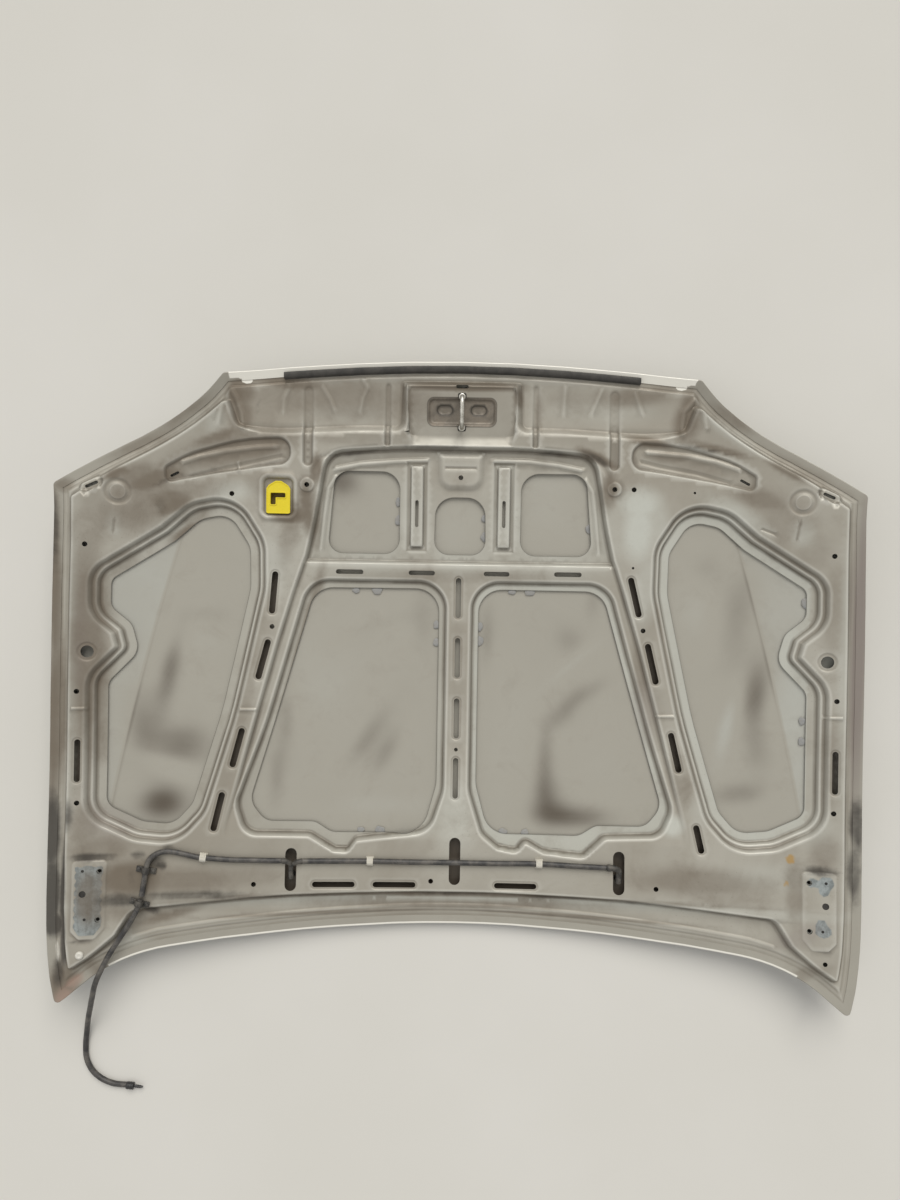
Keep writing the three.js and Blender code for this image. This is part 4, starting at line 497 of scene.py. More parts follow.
def rounded(corners):
    """Corner list to an anticlockwise outline with arcs at its corners"""
    out = []
    n = len(corners)
    for i in range(n):
        x, y = corners[i][:2]
        r = corners[i][2] if len(corners[i]) > 2 else SOFT_CORNER
        p = np.array(corners[i - 1][:2], float)
        q = np.array(corners[(i + 1) % n][:2], float)
        c = np.array((x, y), float)
        u, v = p - c, q - c
        lu, lv = np.linalg.norm(u), np.linalg.norm(v)
        u, v = u / lu, v / lv
        turn = math.pi - math.acos(max(-1.0, min(1.0, float(u @ v))))
        if turn < STRAIGHT:
            out.append(c)
            continue
        cut = min(r * math.tan(turn / 2), MOST_OF_SIDE * lu, MOST_OF_SIDE * lv)
        radius = cut / math.tan(turn / 2)
        middle = c + (u + v) / np.linalg.norm(u + v) * radius / math.cos(turn / 2)
        a0 = math.atan2(*(c + u * cut - middle)[::-1])
        swing = math.atan2(*(c + v * cut - middle)[::-1]) - a0
        swing = (swing + math.pi) % (2 * math.pi) - math.pi
        steps = max(1, math.ceil(abs(swing) / ARC_STEP))
        for k in range(steps + 1):
            a = a0 + swing * k / steps
            out.append(middle + radius * np.array((math.cos(a), math.sin(a))))
    poly = np.array(out)
    return poly if area(poly) > 0 else poly[::-1].copy()


def area(poly):
    x, y = poly[:, 0], poly[:, 1]
    return float((x * np.roll(y, -1) - np.roll(x, -1) * y).sum() / 2)


def flip(corners):
    return [(-c[0], *c[1:]) for c in corners][::-1]


def mirror(poly):
    return (poly * (-1, 1))[::-1].copy()


def disc(x, y, radius, sides):
    return np.array([(x + a, y + b) for a, b in circle(radius, sides)])


CAP_STEPS = 8


def capsule(x0, y0, x1, y1, width):
    """Round-ended slot whose straight part ends a radius inside the given points"""
    a0 = math.atan2(y1 - y0, x1 - x0)
    r = width / 2
    ux, uy = math.cos(a0), math.sin(a0)
    out = []
    for cx, cy, start in ((x1 - ux * r, y1 - uy * r, a0 - math.pi / 2), (x0 + ux * r, y0 + uy * r, a0 + math.pi / 2)):
        for k in range(CAP_STEPS + 1):
            a = start + math.pi * k / CAP_STEPS
            out.append((cx + r * math.cos(a), cy + r * math.sin(a)))
    return np.array(out)


def offset(poly, distance):
    """Outline moved inward, or outward for a negative distance, without folded corners"""
    p = np.array(poly, float)
    d = np.roll(p, -1, 0) - p
    keep = np.linalg.norm(d, axis=1) > 1e-6
    p, d = p[keep], d[keep]
    d /= np.linalg.norm(d, axis=1)[:, None]
    start = p + np.stack([-d[:, 1], d[:, 0]], 1) * distance
    while len(start) > 3:
        before, was = np.roll(d, 1, 0), np.roll(start, 1, 0)
        cross = before[:, 0] * d[:, 1] - before[:, 1] * d[:, 0]
        gap = start - was
        t = (gap[:, 0] * d[:, 1] - gap[:, 1] * d[:, 0]) / np.where(abs(cross) < 1e-4, 1, cross)
        corner = np.where((abs(cross) < 1e-4)[:, None], start, was + before * t[:, None])
        run = ((np.roll(corner, -1, 0) - corner) * d).sum(1)
        worst = int(np.argmin(run))
        if run[worst] > -1e-6:
            break
        start, d = np.delete(start, worst, 0), np.delete(d, worst, 0)
    return corner


def spaced(poly, spacing, closed=True):
    """The same line with its long edges split and its tiny ones dropped"""
    ends = np.vstack([poly, poly[:1]]) if closed else np.array(poly, float)
    out = [ends[0]]
    for q in ends[1:]:
        length = np.linalg.norm(q - out[-1])
        if length < spacing * 0.3:
            continue
        parts = max(1, round(length / spacing))
        p = out[-1]
        out += [p + (q - p) * (k + 1) / parts for k in range(parts)]
    if closed and np.linalg.norm(out[-1] - out[0]) < spacing * 0.3:
        out.pop()
    return np.array(out)


def inside(x, y, poly):
    odd = np.zeros(x.shape, bool)
    low, high = poly.min(0), poly.max(0)
    near = (x >= low[0]) & (x <= high[0]) & (y >= low[1]) & (y <= high[1])
    px, py = x[near], y[near]
    hit = np.zeros(px.shape, bool)
    for p, q in zip(poly, np.roll(poly, -1, 0)):
        if p[1] != q[1]:
            hit ^= ((p[1] > py) != (q[1] > py)) & (px < (q[0] - p[0]) * (py - p[1]) / (q[1] - p[1]) + p[0])
    odd[near] = hit
    return odd


FAR = 999.0


def line_distance(x, y, points, closed, reach):
    """Distance to a line, or FAR for points beyond its box by more than reach"""
    out = np.full(x.shape, FAR)
    pts = np.array(points, float)
    low, high = pts.min(0) - reach, pts.max(0) + reach
    near = (x >= low[0]) & (x <= high[0]) & (y >= low[1]) & (y <= high[1])
    px, py = x[near], y[near]
    best = np.full(px.shape, FAR * FAR)
    ends = np.roll(pts, -1, 0) if closed else pts[1:]
    for p, q in zip(pts, ends):
        d = q - p
        t = np.clip(((px - p[0]) * d[0] + (py - p[1]) * d[1]) / max(d @ d, 1e-9), 0, 1)
        best = np.minimum(best, (px - p[0] - d[0] * t) ** 2 + (py - p[1] - d[1] * t) ** 2)
    out[near] = np.sqrt(best)
    return out


def depth(x, y, poly, reach=60):
    """Distance inside an outline, negative outside it"""
    d = line_distance(x, y, poly, True, reach)
    return np.where(inside(x, y, poly), d, -d)


BEND_SHARE = 0.3


def ease(t):
    """Pressed wall from 0 to 1 with a bend radius at its foot and its head"""
    t = np.clip(t, 0, 1)
    steep = 1 / (1 - BEND_SHARE)
    foot = steep * t * t / (2 * BEND_SHARE)
    head = 1 - steep * (1 - t) ** 2 / (2 * BEND_SHARE)
    return np.where(t < BEND_SHARE, foot, np.where(t > 1 - BEND_SHARE, head, steep * (t - BEND_SHARE / 2)))


def lerp(a, b, t):
    return a + (b - a) * t


# Form of the pressing
SKIN_THICKNESS = 0.75
PANEL_THICKNESS = 0.65
FIT_GAP = 0.3
HEM_WIDTH = 15
HEM_INNER = PANEL_THICKNESS + 2 * FIT_GAP
HEM_HEIGHT = 2 * SKIN_THICKNESS + HEM_INNER
FOLD_INSET = 2 * SKIN_THICKNESS
PANEL_EDGE_INSET = FOLD_INSET + 2 * PANEL_THICKNESS
FLANGE_WIDTH = 22
FLANGE_BLEND = 6
FLANGE_LEVEL = SKIN_THICKNESS + FIT_GAP + PANEL_THICKNESS
FLANGE_END_LEVEL = FLANGE_LEVEL + 1.2
LEDGE = 5
FLOOR = 7.5
MIDDLE = 15
PLATEAU = 24
LATCH_Y = 475
SOCKET_AT = (-322, 320)
JETS = [(-290, -352), (291, -350)]

EDGE = rounded(OUTLINE_REAR + OUTLINE_RIGHT + [(0, 562)] + flip(OUTLINE_RIGHT) + flip(OUTLINE_REAR[1:]))
PLATEAU_RING = rounded(PLATEAU_RIGHT + flip(PLATEAU_RIGHT))
LOW = rounded(LOW_RIGHT + flip(LOW_RIGHT))
SIDE_WALL_AT = 23
SIDES = [rounded(SIDE_OPENING), mirror(rounded(SIDE_OPENING))]
SIDE_WALLS = [offset(poly, -SIDE_WALL_AT) for poly in SIDES]
BIGS = [rounded(BIG_OPENING), mirror(rounded(BIG_OPENING))]
BIG_WALLS = [rounded(BIG_WALL_RIGHT), mirror(rounded(BIG_WALL_LEFT))]
UPPERS = [rounded(UPPER_OPENING), mirror(rounded(UPPER_OPENING)), rounded(MIDDLE_OPENING)]
POCKETS = [rounded(LONG_POCKET), mirror(rounded(LONG_POCKET))]
HINGES = [rounded(HINGE_PAD), mirror(rounded(HINGE_PAD))]
TAB = rounded(TAB_BOSS)
SOCKET_RECESS = rounded(SOCKET_POCKET)
SIDE_HALF = 0.5
BIG_WALL = 4
OPENINGS = SIDES + BIGS + UPPERS
BEADS = [(271, 374, 269, 518, 22), (-271, 374, -270, 518, 22), (131, 411, 131, 526, 15), (-131, 411, -130, 526, 15)]
BEAD_WALL = 6
BOSSES = [(272, 343), (-272, 343)]
BUMP_PADS = [(590, 321), (-590, 321)]
SIDE_HOLES = [(639, 46), (-641, 44)]
RIB_X = 78
RIB_ENDS = (236, 384)

# Thin pressed ridges and grooves: path, half width, height
RIDGES = [
    ([(-222, 374), (-180, 383), (-118, 389), (-61, 392)], 7, 3.2),
    ([(60, 393), (122, 392), (175, 386), (214, 378)], 7, 3.2),
    ([(-308, 523), (-304, 512), (-313, 493), (-315, 470)], 7, 1.4),
    ([(-246, 514), (-233, 493), (-226, 476)], 6, 1.2),
    ([(-174, 529), (-167, 516), (-175, 497), (-180, 474)], 6, 1.4),
    ([(182, 522), (180, 476)], 6, 1.2),
    ([(246, 517), (230, 477)], 6, 1.2),
    ([(304, 511), (317, 477)], 6, 1.3),
    ([(-424, 448), (-416, 480), (-406, 506), (-396, 491), (-387, 465), (-384, 440)], 7, 2.0),
    ([(386, 440), (390, 480), (408, 500), (420, 476), (426, 450)], 7, 2.0),
    ([(-484, 376), (-457, 386), (-414, 397), (-363, 405), (-328, 408)], 7, 2.6),
    ([(328, 408), (358, 405), (401, 401), (446, 392), (484, 378)], 7, 2.6),
    ([(-470, 352), (-414, 368), (-350, 384), (-318, 392)], 6, -1.2),
    ([(318, 392), (350, 384), (414, 372), (470, 356)], 6, -1.2),
    *[([(s * x, y) for x, y in path], half, rise) for path, half, rise in (
        ([(266, 330), (262, 366), (246, 392), (214, 405), (150, 412)], 7, -1.2),
        ([(249, 232), (243, 290), (236, 340), (224, 360)], 6, 2.0)) for s in (-1, 1)],
    ([(-26, 379), (26, 379)], 4, -1.6),
    ([(-664, -55), (-642, -55)], 4, 1.6),
    ([(638, -51), (664, -50)], 4, 1.6),
    ([(-384, -57), (-357, -57)], 4, 1.6),
    ([(353, -58), (382, -57)], 4, 1.6),
    ([(587, 285), (583, 258)], 4, -1.4),
    ([(527, 275), (546, 267)], 4, -1.4),
    ([(-596, 272), (-598, 254)], 4, -1.4),
    ([(-392, 380), (-390, 366)], 4, 1.2),
    ([(x, y + 33) for x, y in OUTLINE_REAR_ROUND], 5, 1.1),
    ([(x, y + 21) for x, y in OUTLINE_REAR_ROUND], 3, -0.7),
]

SLOT_WIDTH = 9.6
ARM_SLOT_WIDTH = 10.8
SMALL_HOLE = 8.6
TINY_HOLE = 4.4
SLOTS = [
    (-1, 111, -1, 183, SLOT_WIDTH), (-1, 3, -1, 75, SLOT_WIDTH), (-1, -106, -1, -34, SLOT_WIDTH),
    (-1, -213, -1, -141, SLOT_WIDTH), (0, -364, 0, -281, 20), (-290, -376, -290, -301, 20),
    (291, -374, 291, -298, 20), (-252, -365, -177, -365, SLOT_WIDTH), (-145, -365, -69, -365, SLOT_WIDTH),
    (71, -364, 146, -364, SLOT_WIDTH), (-221, 191, -172, 191, 8.2), (-91, 191, -44, 191, 8.2),
    (44, 191, 90, 191, 8.2), (170, 192, 219, 192, 8.2), (-78, 273, -78, 321, 6), (78, 274, 78, 322, 6),
    (-332, 114, -326, 189, ARM_SLOT_WIDTH), (-355, -3, -337, 68, ARM_SLOT_WIDTH),
    (-397, -159, -380, -90, ARM_SLOT_WIDTH), (-427, -271, -412, -203, ARM_SLOT_WIDTH),
    (321, 118, 304, 188, ARM_SLOT_WIDTH), (353, -1, 336, 71, ARM_SLOT_WIDTH),
    (395, -156, 379, -86, ARM_SLOT_WIDTH), (435, -296, 424, -247, ARM_SLOT_WIDTH),
    (655, -182, 655, -108, SLOT_WIDTH), (-655, -182, -655, -108, SLOT_WIDTH), (-644, 327, -624, 337, 5.3),
    (624, 337, 643, 328, 5.3), (-506, 351, -492, 359, TINY_HOLE), (488, 361, 504, 352, TINY_HOLE),
    (-11, 518, 11, 518, 6.2),
]
HOLES = [
    (643, 229, SMALL_HOLE), (-643, 229, SMALL_HOLE), (655, -21, SMALL_HOLE), (-657, -25, SMALL_HOLE),
    (653, -215, SMALL_HOLE), (-654, -218, SMALL_HOLE), (-331, 91, SMALL_HOLE), (328, 94, SMALL_HOLE),
    (-402, 324, SMALL_HOLE), (306, 343, SMALL_HOLE), (-354, -364, SMALL_HOLE), (356, -361, SMALL_HOLE),
    (-42, -358, SMALL_HOLE), (-1, -126, 6.9), (0, 362, SMALL_HOLE), (-272, 343, SMALL_HOLE),
    (272, 343, SMALL_HOLE), (411, 338, TINY_HOLE), (308, 205, TINY_HOLE), (639, -472, 7.7), (-641, -477, 8.8),
    *[(s * x, y, d) for s in (1, -1) for x, y, d in (
        (614, -336, 9.4), (614, -418, 9.4), (640, -374, 11.3), (641, -335, 5), (635, -417, 5))],
    (639, 46, 21), (-641, 44, 21),
]
SOCKET_HOLE = rounded([(SOCKET_AT[0] + a * 16.3, SOCKET_AT[1] + b * 16.3, 1.5)
                       for a, b in ((-1, -1), (1, -1), (1, 1), (-1, 1))])
quarter = [(7, 32.1, 3), (7, 24.5, 2), (61, 24.5, 12)]
WINDOW = rounded([(sx * x, LATCH_Y + sy * y, r)
                  for sx, sy in ((1, 1), (1, -1), (-1, -1), (-1, 1))
                  for x, y, r in (quarter if sx * sy > 0 else quarter[::-1])])
LATCH_PAD = rounded([(-93, 436, 6), (93, 436, 6), (93, 514, 6), (-93, 514, 6)])
LATCH_FOOT = rounded([(-90, 414, 6), (92, 414, 6), (101, 498, 8), (92, 524, 8), (-98, 524, 8), (-99, 498, 8)])

# The front skirt, which rises from the ledge in the middle
SKIRT_HALF, SKIRT_SIDE = 418, 16
SKIRT_FROM, SKIRT_START = 420, 10
SKIRT_RISE, SKIRT_END, SKIRT_RUN = 9, 524, 75

# Walls: how far each runs, and where
PLATEAU_WALL = 10
FRONT_WALL_MORE, FRONT_WALL_HALF, FRONT_WALL_SIDE = 5, 380, 30
FRONT_WALL_FROM, FRONT_WALL_START = 380, 20
FLANK = 8
REAR_RISE_FROM, REAR_RISE_RUN = -120, 165
FLOOR_FROM, FLOOR_WALL = 205, 9
SIDE_FOOT, SIDE_FOOT_WALL = -8, 6
SIDE_HEAD, SIDE_HEAD_WALL = 1, 9
POCKET_DEPTH, POCKET_WALL = 5, 6
BEAD_FRONT, BEAD_REAR, BEAD_CHANGE, BEAD_RUN = 1.6, 4.6, 462, 30
TAB_HEIGHT, TAB_WALL = 6, 15

# Round forms: radius, wall and height
BOSS = (14.5, 4, 2)
BUMP_RING = (25, 6, 1.6)
BUMP_MIDDLE = (15, 3, 1.6)
SIDE_HOLE_DISH = (18, 4, 1.2)

# Forms round the slots, the socket, the ribs and the hinge pads
CORNER_LEVEL, CORNER_RADIUS, CORNER_WALL = 14, 12, 6
CORNER_SLOTS = [s for s in SLOTS if s[4] == 5.3]
DISH_MARGIN, DISH_WALL, DISH_DEPTH = 5, 3, 0.9
DISHED_SLOTS = [s for s in SLOTS if 9 < s[4] < 12]
RECESS_DEPTH, RECESS_WALL, RECESS_BEAD, RECESS_BEAD_AT = 4, 5, 1.2, -3
RIB_HALF, RIB_WALL, RIB_HEIGHT = 13, 4, 6.8
RIB_MOAT, RIB_MOAT_WALL, RIB_MOAT_DEPTH = 7, 3, 1.8
HINGE_WALL = 4

# The skin: crown, nose and side creases
HALF_WIDTH = 706
CROWN_ACROSS, CROWN_ALONG, CROWN_Y, CROWN_HALF = 60, 31, -30, 564
NOSE_DROP, NOSE_FROM, NOSE_RUN = 20, 415, 145
CREASE_X, CREASE_LEAN, CREASE_CURVE = 562, 0.235, 0.00013
CREASE_SLOPE, CREASE_SOFT = 0.05, 8


def crease_x(y):
    return CREASE_X - CREASE_LEAN * y - CREASE_CURVE * y * y


def skin_z(x, y):
    """Outer face of the skin"""
    a = abs(x) / HALF_WIDTH
    b = (y - CROWN_Y) / CROWN_HALF
    nose = np.clip((y - NOSE_FROM) / NOSE_RUN, 0, 2)
    t = abs(x) - crease_x(y)
    crown = CROWN_ACROSS * a * a + CROWN_ALONG * b * b + NOSE_DROP * nose * nose
    return crown + CREASE_SLOPE * (t + np.sqrt(t * t + CREASE_SOFT ** 2))


def slope(height, x, y, dx, dy):
    """Rise of a height over a stretch with the given half length across or along"""
    return float(height(x + dx, y + dy) - height(x - dx, y - dy)) / (2 * (dx + dy))


HINGE_MIDDLE, HINGE_RISE = (632, -384), 2.6
LATCH_DROP = 4
LATCH_RUN = slope(skin_z, 0, LATCH_Y, 0, 30)


def hinge_plane(x, y, side):
    cx, cy = side * HINGE_MIDDLE[0], HINGE_MIDDLE[1]
    level = skin_z(cx, cy) + PLATEAU + HINGE_RISE
    return level + slope(skin_z, cx, cy, 20, 0) * (x - cx) + slope(skin_z, cx, cy, 0, 60) * (y - cy)


def latch_plane(y):
    return skin_z(0, LATCH_Y) + PLATEAU - LATCH_DROP + LATCH_RUN * (y - LATCH_Y)


def round_form(x, y, at, form):
    radius, wall, height = form
    return height * ease((radius - np.hypot(x - at[0], y - at[1])) / wall)


def panel_height(x, y):
    """Upper face of the inner panel"""
    into = depth(x, y, EDGE)
    middle = ease((SKIRT_HALF - abs(x)) / SKIRT_SIDE) * ease((y - SKIRT_FROM) / SKIRT_START)
    skirt = LEDGE + SKIRT_RISE * np.clip((SKIRT_END - y) / SKIRT_RUN, 0, 1) * middle
    front = ease((FRONT_WALL_HALF - abs(x)) / FRONT_WALL_SIDE) * ease((y - FRONT_WALL_FROM) / FRONT_WALL_START)
    h = lerp(skirt, PLATEAU, ease(depth(x, y, PLATEAU_RING, 30) / (PLATEAU_WALL + FRONT_WALL_MORE * front)))
    floor = lerp(MIDDLE, PLATEAU, np.clip((REAR_RISE_FROM - y) / REAR_RISE_RUN, 0, 1))
    floor = lerp(floor, FLOOR, ease((y - FLOOR_FROM) / FLOOR_WALL))
    h = lerp(floor, h, ease(-depth(x, y, LOW, 20) / FLANK))
    for poly in SIDE_WALLS:
        d = -depth(x, y, poly, 40)
        foot, head = ease((d - SIDE_FOOT) / SIDE_FOOT_WALL), ease((d - SIDE_HEAD) / SIDE_HEAD_WALL)
        h = lerp(LEDGE, h, SIDE_HALF * foot + (1 - SIDE_HALF) * head)
    for poly in BIG_WALLS:
        h = lerp(LEDGE, h, ease((BIG_WALL - depth(x, y, poly, 40)) / (2 * BIG_WALL)))
    for poly in POCKETS:
        h = h - POCKET_DEPTH * ease(depth(x, y, poly, 10) / POCKET_WALL)
    bead_depth = lerp(BEAD_FRONT, BEAD_REAR, ease((BEAD_CHANGE - y) / BEAD_RUN))
    for bead in BEADS:
        h = h - bead_depth * ease(depth(x, y, capsule(*bead), BEAD_WALL + 1) / BEAD_WALL)
    for at in BOSSES:
        h = h + round_form(x, y, at, BOSS)
    for at in BUMP_PADS:
        h = h - round_form(x, y, at, BUMP_RING) + round_form(x, y, at, BUMP_MIDDLE)
    for at in SIDE_HOLES:
        h = h - round_form(x, y, at, SIDE_HOLE_DISH)
    h = h + TAB_HEIGHT * ease(depth(x, y, TAB, TAB_WALL + 1) / TAB_WALL)
    for x0, y0, x1, y1, _ in CORNER_SLOTS:
        d = line_distance(x, y, [(x0, y0), (x1, y1)], False, CORNER_RADIUS + 1)
        h = lerp(h, CORNER_LEVEL, ease((CORNER_RADIUS - d) / CORNER_WALL))
    recess = depth(x, y, SOCKET_RECESS, 8)
    h = h - RECESS_DEPTH * ease(recess / RECESS_WALL)
    h = h + RECESS_BEAD * np.clip(1 - (recess - RECESS_BEAD_AT) ** 2 / 12, 0, 1)
    for cx in (RIB_X, -RIB_X):
        d = np.minimum(RIB_HALF - abs(x - cx), np.minimum(y - RIB_ENDS[0], RIB_ENDS[1] - y))
        h = h - RIB_MOAT_DEPTH * ease((d + RIB_MOAT) / RIB_MOAT_WALL) + RIB_HEIGHT * ease(d / RIB_WALL)
    for slot in DISHED_SLOTS:
        h = h - DISH_DEPTH * ease((depth(x, y, capsule(*slot), 8) + DISH_MARGIN) / DISH_WALL)
    for path, half, rise in RIDGES:
        t = line_distance(x, y, path, False, half) / half
        h = h + rise * np.where(t < 1, (1 - t * t) ** 2, 0)
    z = skin_z(x, y) + h
    for poly, side in zip(HINGES, (1, -1)):
        z = lerp(z, hinge_plane(x, y, side), ease((depth(x, y, poly, 6) + HINGE_WALL) / HINGE_WALL))
    within, beyond = depth(x, y, LATCH_PAD, 40), depth(x, y, LATCH_FOOT, 40)
    out, foot = np.maximum(-within, 0), np.maximum(beyond, 0)
    z = lerp(z, latch_plane(y), np.where(beyond > 0, ease(foot / (foot + out + 1e-9)), 0))
    flange = lerp(FLANGE_LEVEL, FLANGE_END_LEVEL, ease((into - HEM_WIDTH) / (FLANGE_WIDTH - HEM_WIDTH)))
    return lerp(skin_z(x, y) + flange, z, ease((into - FLANGE_WIDTH) / FLANGE_BLEND))


# Sheet metal from a plan and a height
ROW = 0.866
CLEAR_OF_LINES = 0.45
CLEAR_OF_HOLES = 0.35
SAME_POINT = 1e-4
NO_AREA = 1e-5


class Plan:
    """Points and fixed lines of a plan, meshed into triangles"""

    def __init__(self, outer, spacing):
        self.outer = outer
        self.spacing = spacing
        self.points = []
        self.edges = []
        self.holes = []
        self.line(outer)

    def line(self, poly, closed=True, spacing=None):
        ring = spaced(poly, spacing or self.spacing, closed)
        start = len(self.points)
        self.points += list(ring)
        n = len(ring)
        self.edges += [(start + i, start + (i + 1) % n) for i in range(n if closed else n - 1)]

    def hole(self, poly, spacing=None):
        self.holes.append(poly)
        self.line(poly, True, spacing)

    def contours(self, poly, distances):
        for d in distances:
            self.line(offset(poly, d) if d else poly)

    def mesh(self, spacing):
        low, high = self.outer.min(0), self.outer.max(0)
        rows = int((high[1] - low[1]) / spacing / ROW) + 2
        columns = int((high[0] - low[0]) / spacing) + 2
        j, i = np.mgrid[0:rows, 0:columns]
        x = (low[0] + (i + 0.5 * (j % 2)) * spacing).ravel()
        y = (low[1] + j * spacing * ROW).ravel()
        ok = depth(x, y, self.outer, spacing) > spacing * CLEAR_OF_LINES
        for poly in self.holes:
            ok &= depth(x, y, poly, spacing) < -spacing * CLEAR_OF_HOLES
        x, y = x[ok], y[ok]
        tree = kdtree.KDTree(len(self.points))
        for k, p in enumerate(self.points):
            tree.insert((p[0], p[1], 0), k)
        tree.balance()
        free = np.array([tree.find((a, b, 0))[2] > spacing * CLEAR_OF_LINES for a, b in zip(x, y)], bool)
        points = [Vector(p) for p in self.points] + [Vector(p) for p in zip(x[free], y[free])]
        verts, _, faces, *_ = delaunay_2d_cdt(points, self.edges, [], 0, SAME_POINT, False)
        v = np.array([tuple(p) for p in verts])
        t = np.array(faces)
        middle = v[t].mean(1)
        good = inside(middle[:, 0], middle[:, 1], self.outer)
        for poly in self.holes:
            good &= ~inside(middle[:, 0], middle[:, 1], poly)
        t = t[good]
        a, b, c = v[t[:, 0]], v[t[:, 1]], v[t[:, 2]]
        turn = (b[:, 0] - a[:, 0]) * (c[:, 1] - a[:, 1]) - (b[:, 1] - a[:, 1]) * (c[:, 0] - a[:, 0])
        t = np.where((turn < 0)[:, None], t[:, ::-1], t)
        t = t[abs(turn) > NO_AREA]
        used, t = np.unique(t, return_inverse=True)
        return v[used], t.reshape(-1, 3)


def open_edges(tris):
    """Directed edges that only one triangle has"""
    e = np.vstack([tris[:, [0, 1]], tris[:, [1, 2]], tris[:, [2, 0]]])
    key = np.sort(e, axis=1)
    _, index, count = np.unique(key, axis=0, return_index=True, return_counts=True)
    return e[index[count == 1]]


def closed_sheet(tris, n):
    """Faces of a sheet whose back repeats the n points of its front, and the open edges of the front"""
    rim = open_edges(tris)
    quads = np.stack([rim[:, 1], rim[:, 0], rim[:, 0] + n, rim[:, 1] + n], 1)
    return tris.tolist() + (tris[:, ::-1] + n).tolist() + quads.tolist(), rim


SLOPE_PROBE = 0.5


def sheet_object(name, plan, tris, height, thickness, slot, replaced):
    """Closed sheet with exact normals on both faces"""
    x, y = plan.T
    r = SLOPE_PROBE
    run_x = (height(x + r, y) - height(x - r, y)) / (2 * r)
    run_y = (height(x, y + r) - height(x, y - r)) / (2 * r)
    normal = np.stack([-run_x, -run_y, np.ones(len(x))], 1)
    normal /= np.linalg.norm(normal, axis=1)[:, None]
    top = np.stack([x, y, height(x, y)], 1)
    back = top - normal * thickness
    faces, rim = closed_sheet(tris, len(top))
    mesh = bpy.data.meshes.new(name)
    mesh.from_pydata(metres(np.vstack([top, back])).tolist(), [], faces)
    mesh.polygons.foreach_set("use_smooth", [True] * len(mesh.polygons))
    side = (top[rim[:, 1]] - top[rim[:, 0]])[:, [1, 0, 2]] * (1, -1, 0)
    side /= np.linalg.norm(side, axis=1)[:, None]
    loops = np.vstack([normal[tris].reshape(-1, 3), -normal[tris[:, ::-1]].reshape(-1, 3), np.repeat(side, 4, 0)])
    mesh.normals_split_custom_set(loops.tolist())
    obj = linked(name, mesh)
    dress(obj, slot, replaced)
    return obj


def paint_field(obj, name, values):
    """A number on every point of the mesh, repeated for the back of a sheet"""
    count = len(obj.data.vertices)
    values = np.asarray(values, float)
    if len(values) * 2 == count:
        values = np.concatenate([values, values])
    layer = obj.data.attributes.new(name, "FLOAT", "POINT")
    layer.data.foreach_set("value", np.clip(values, 0, 1).astype(np.float32))


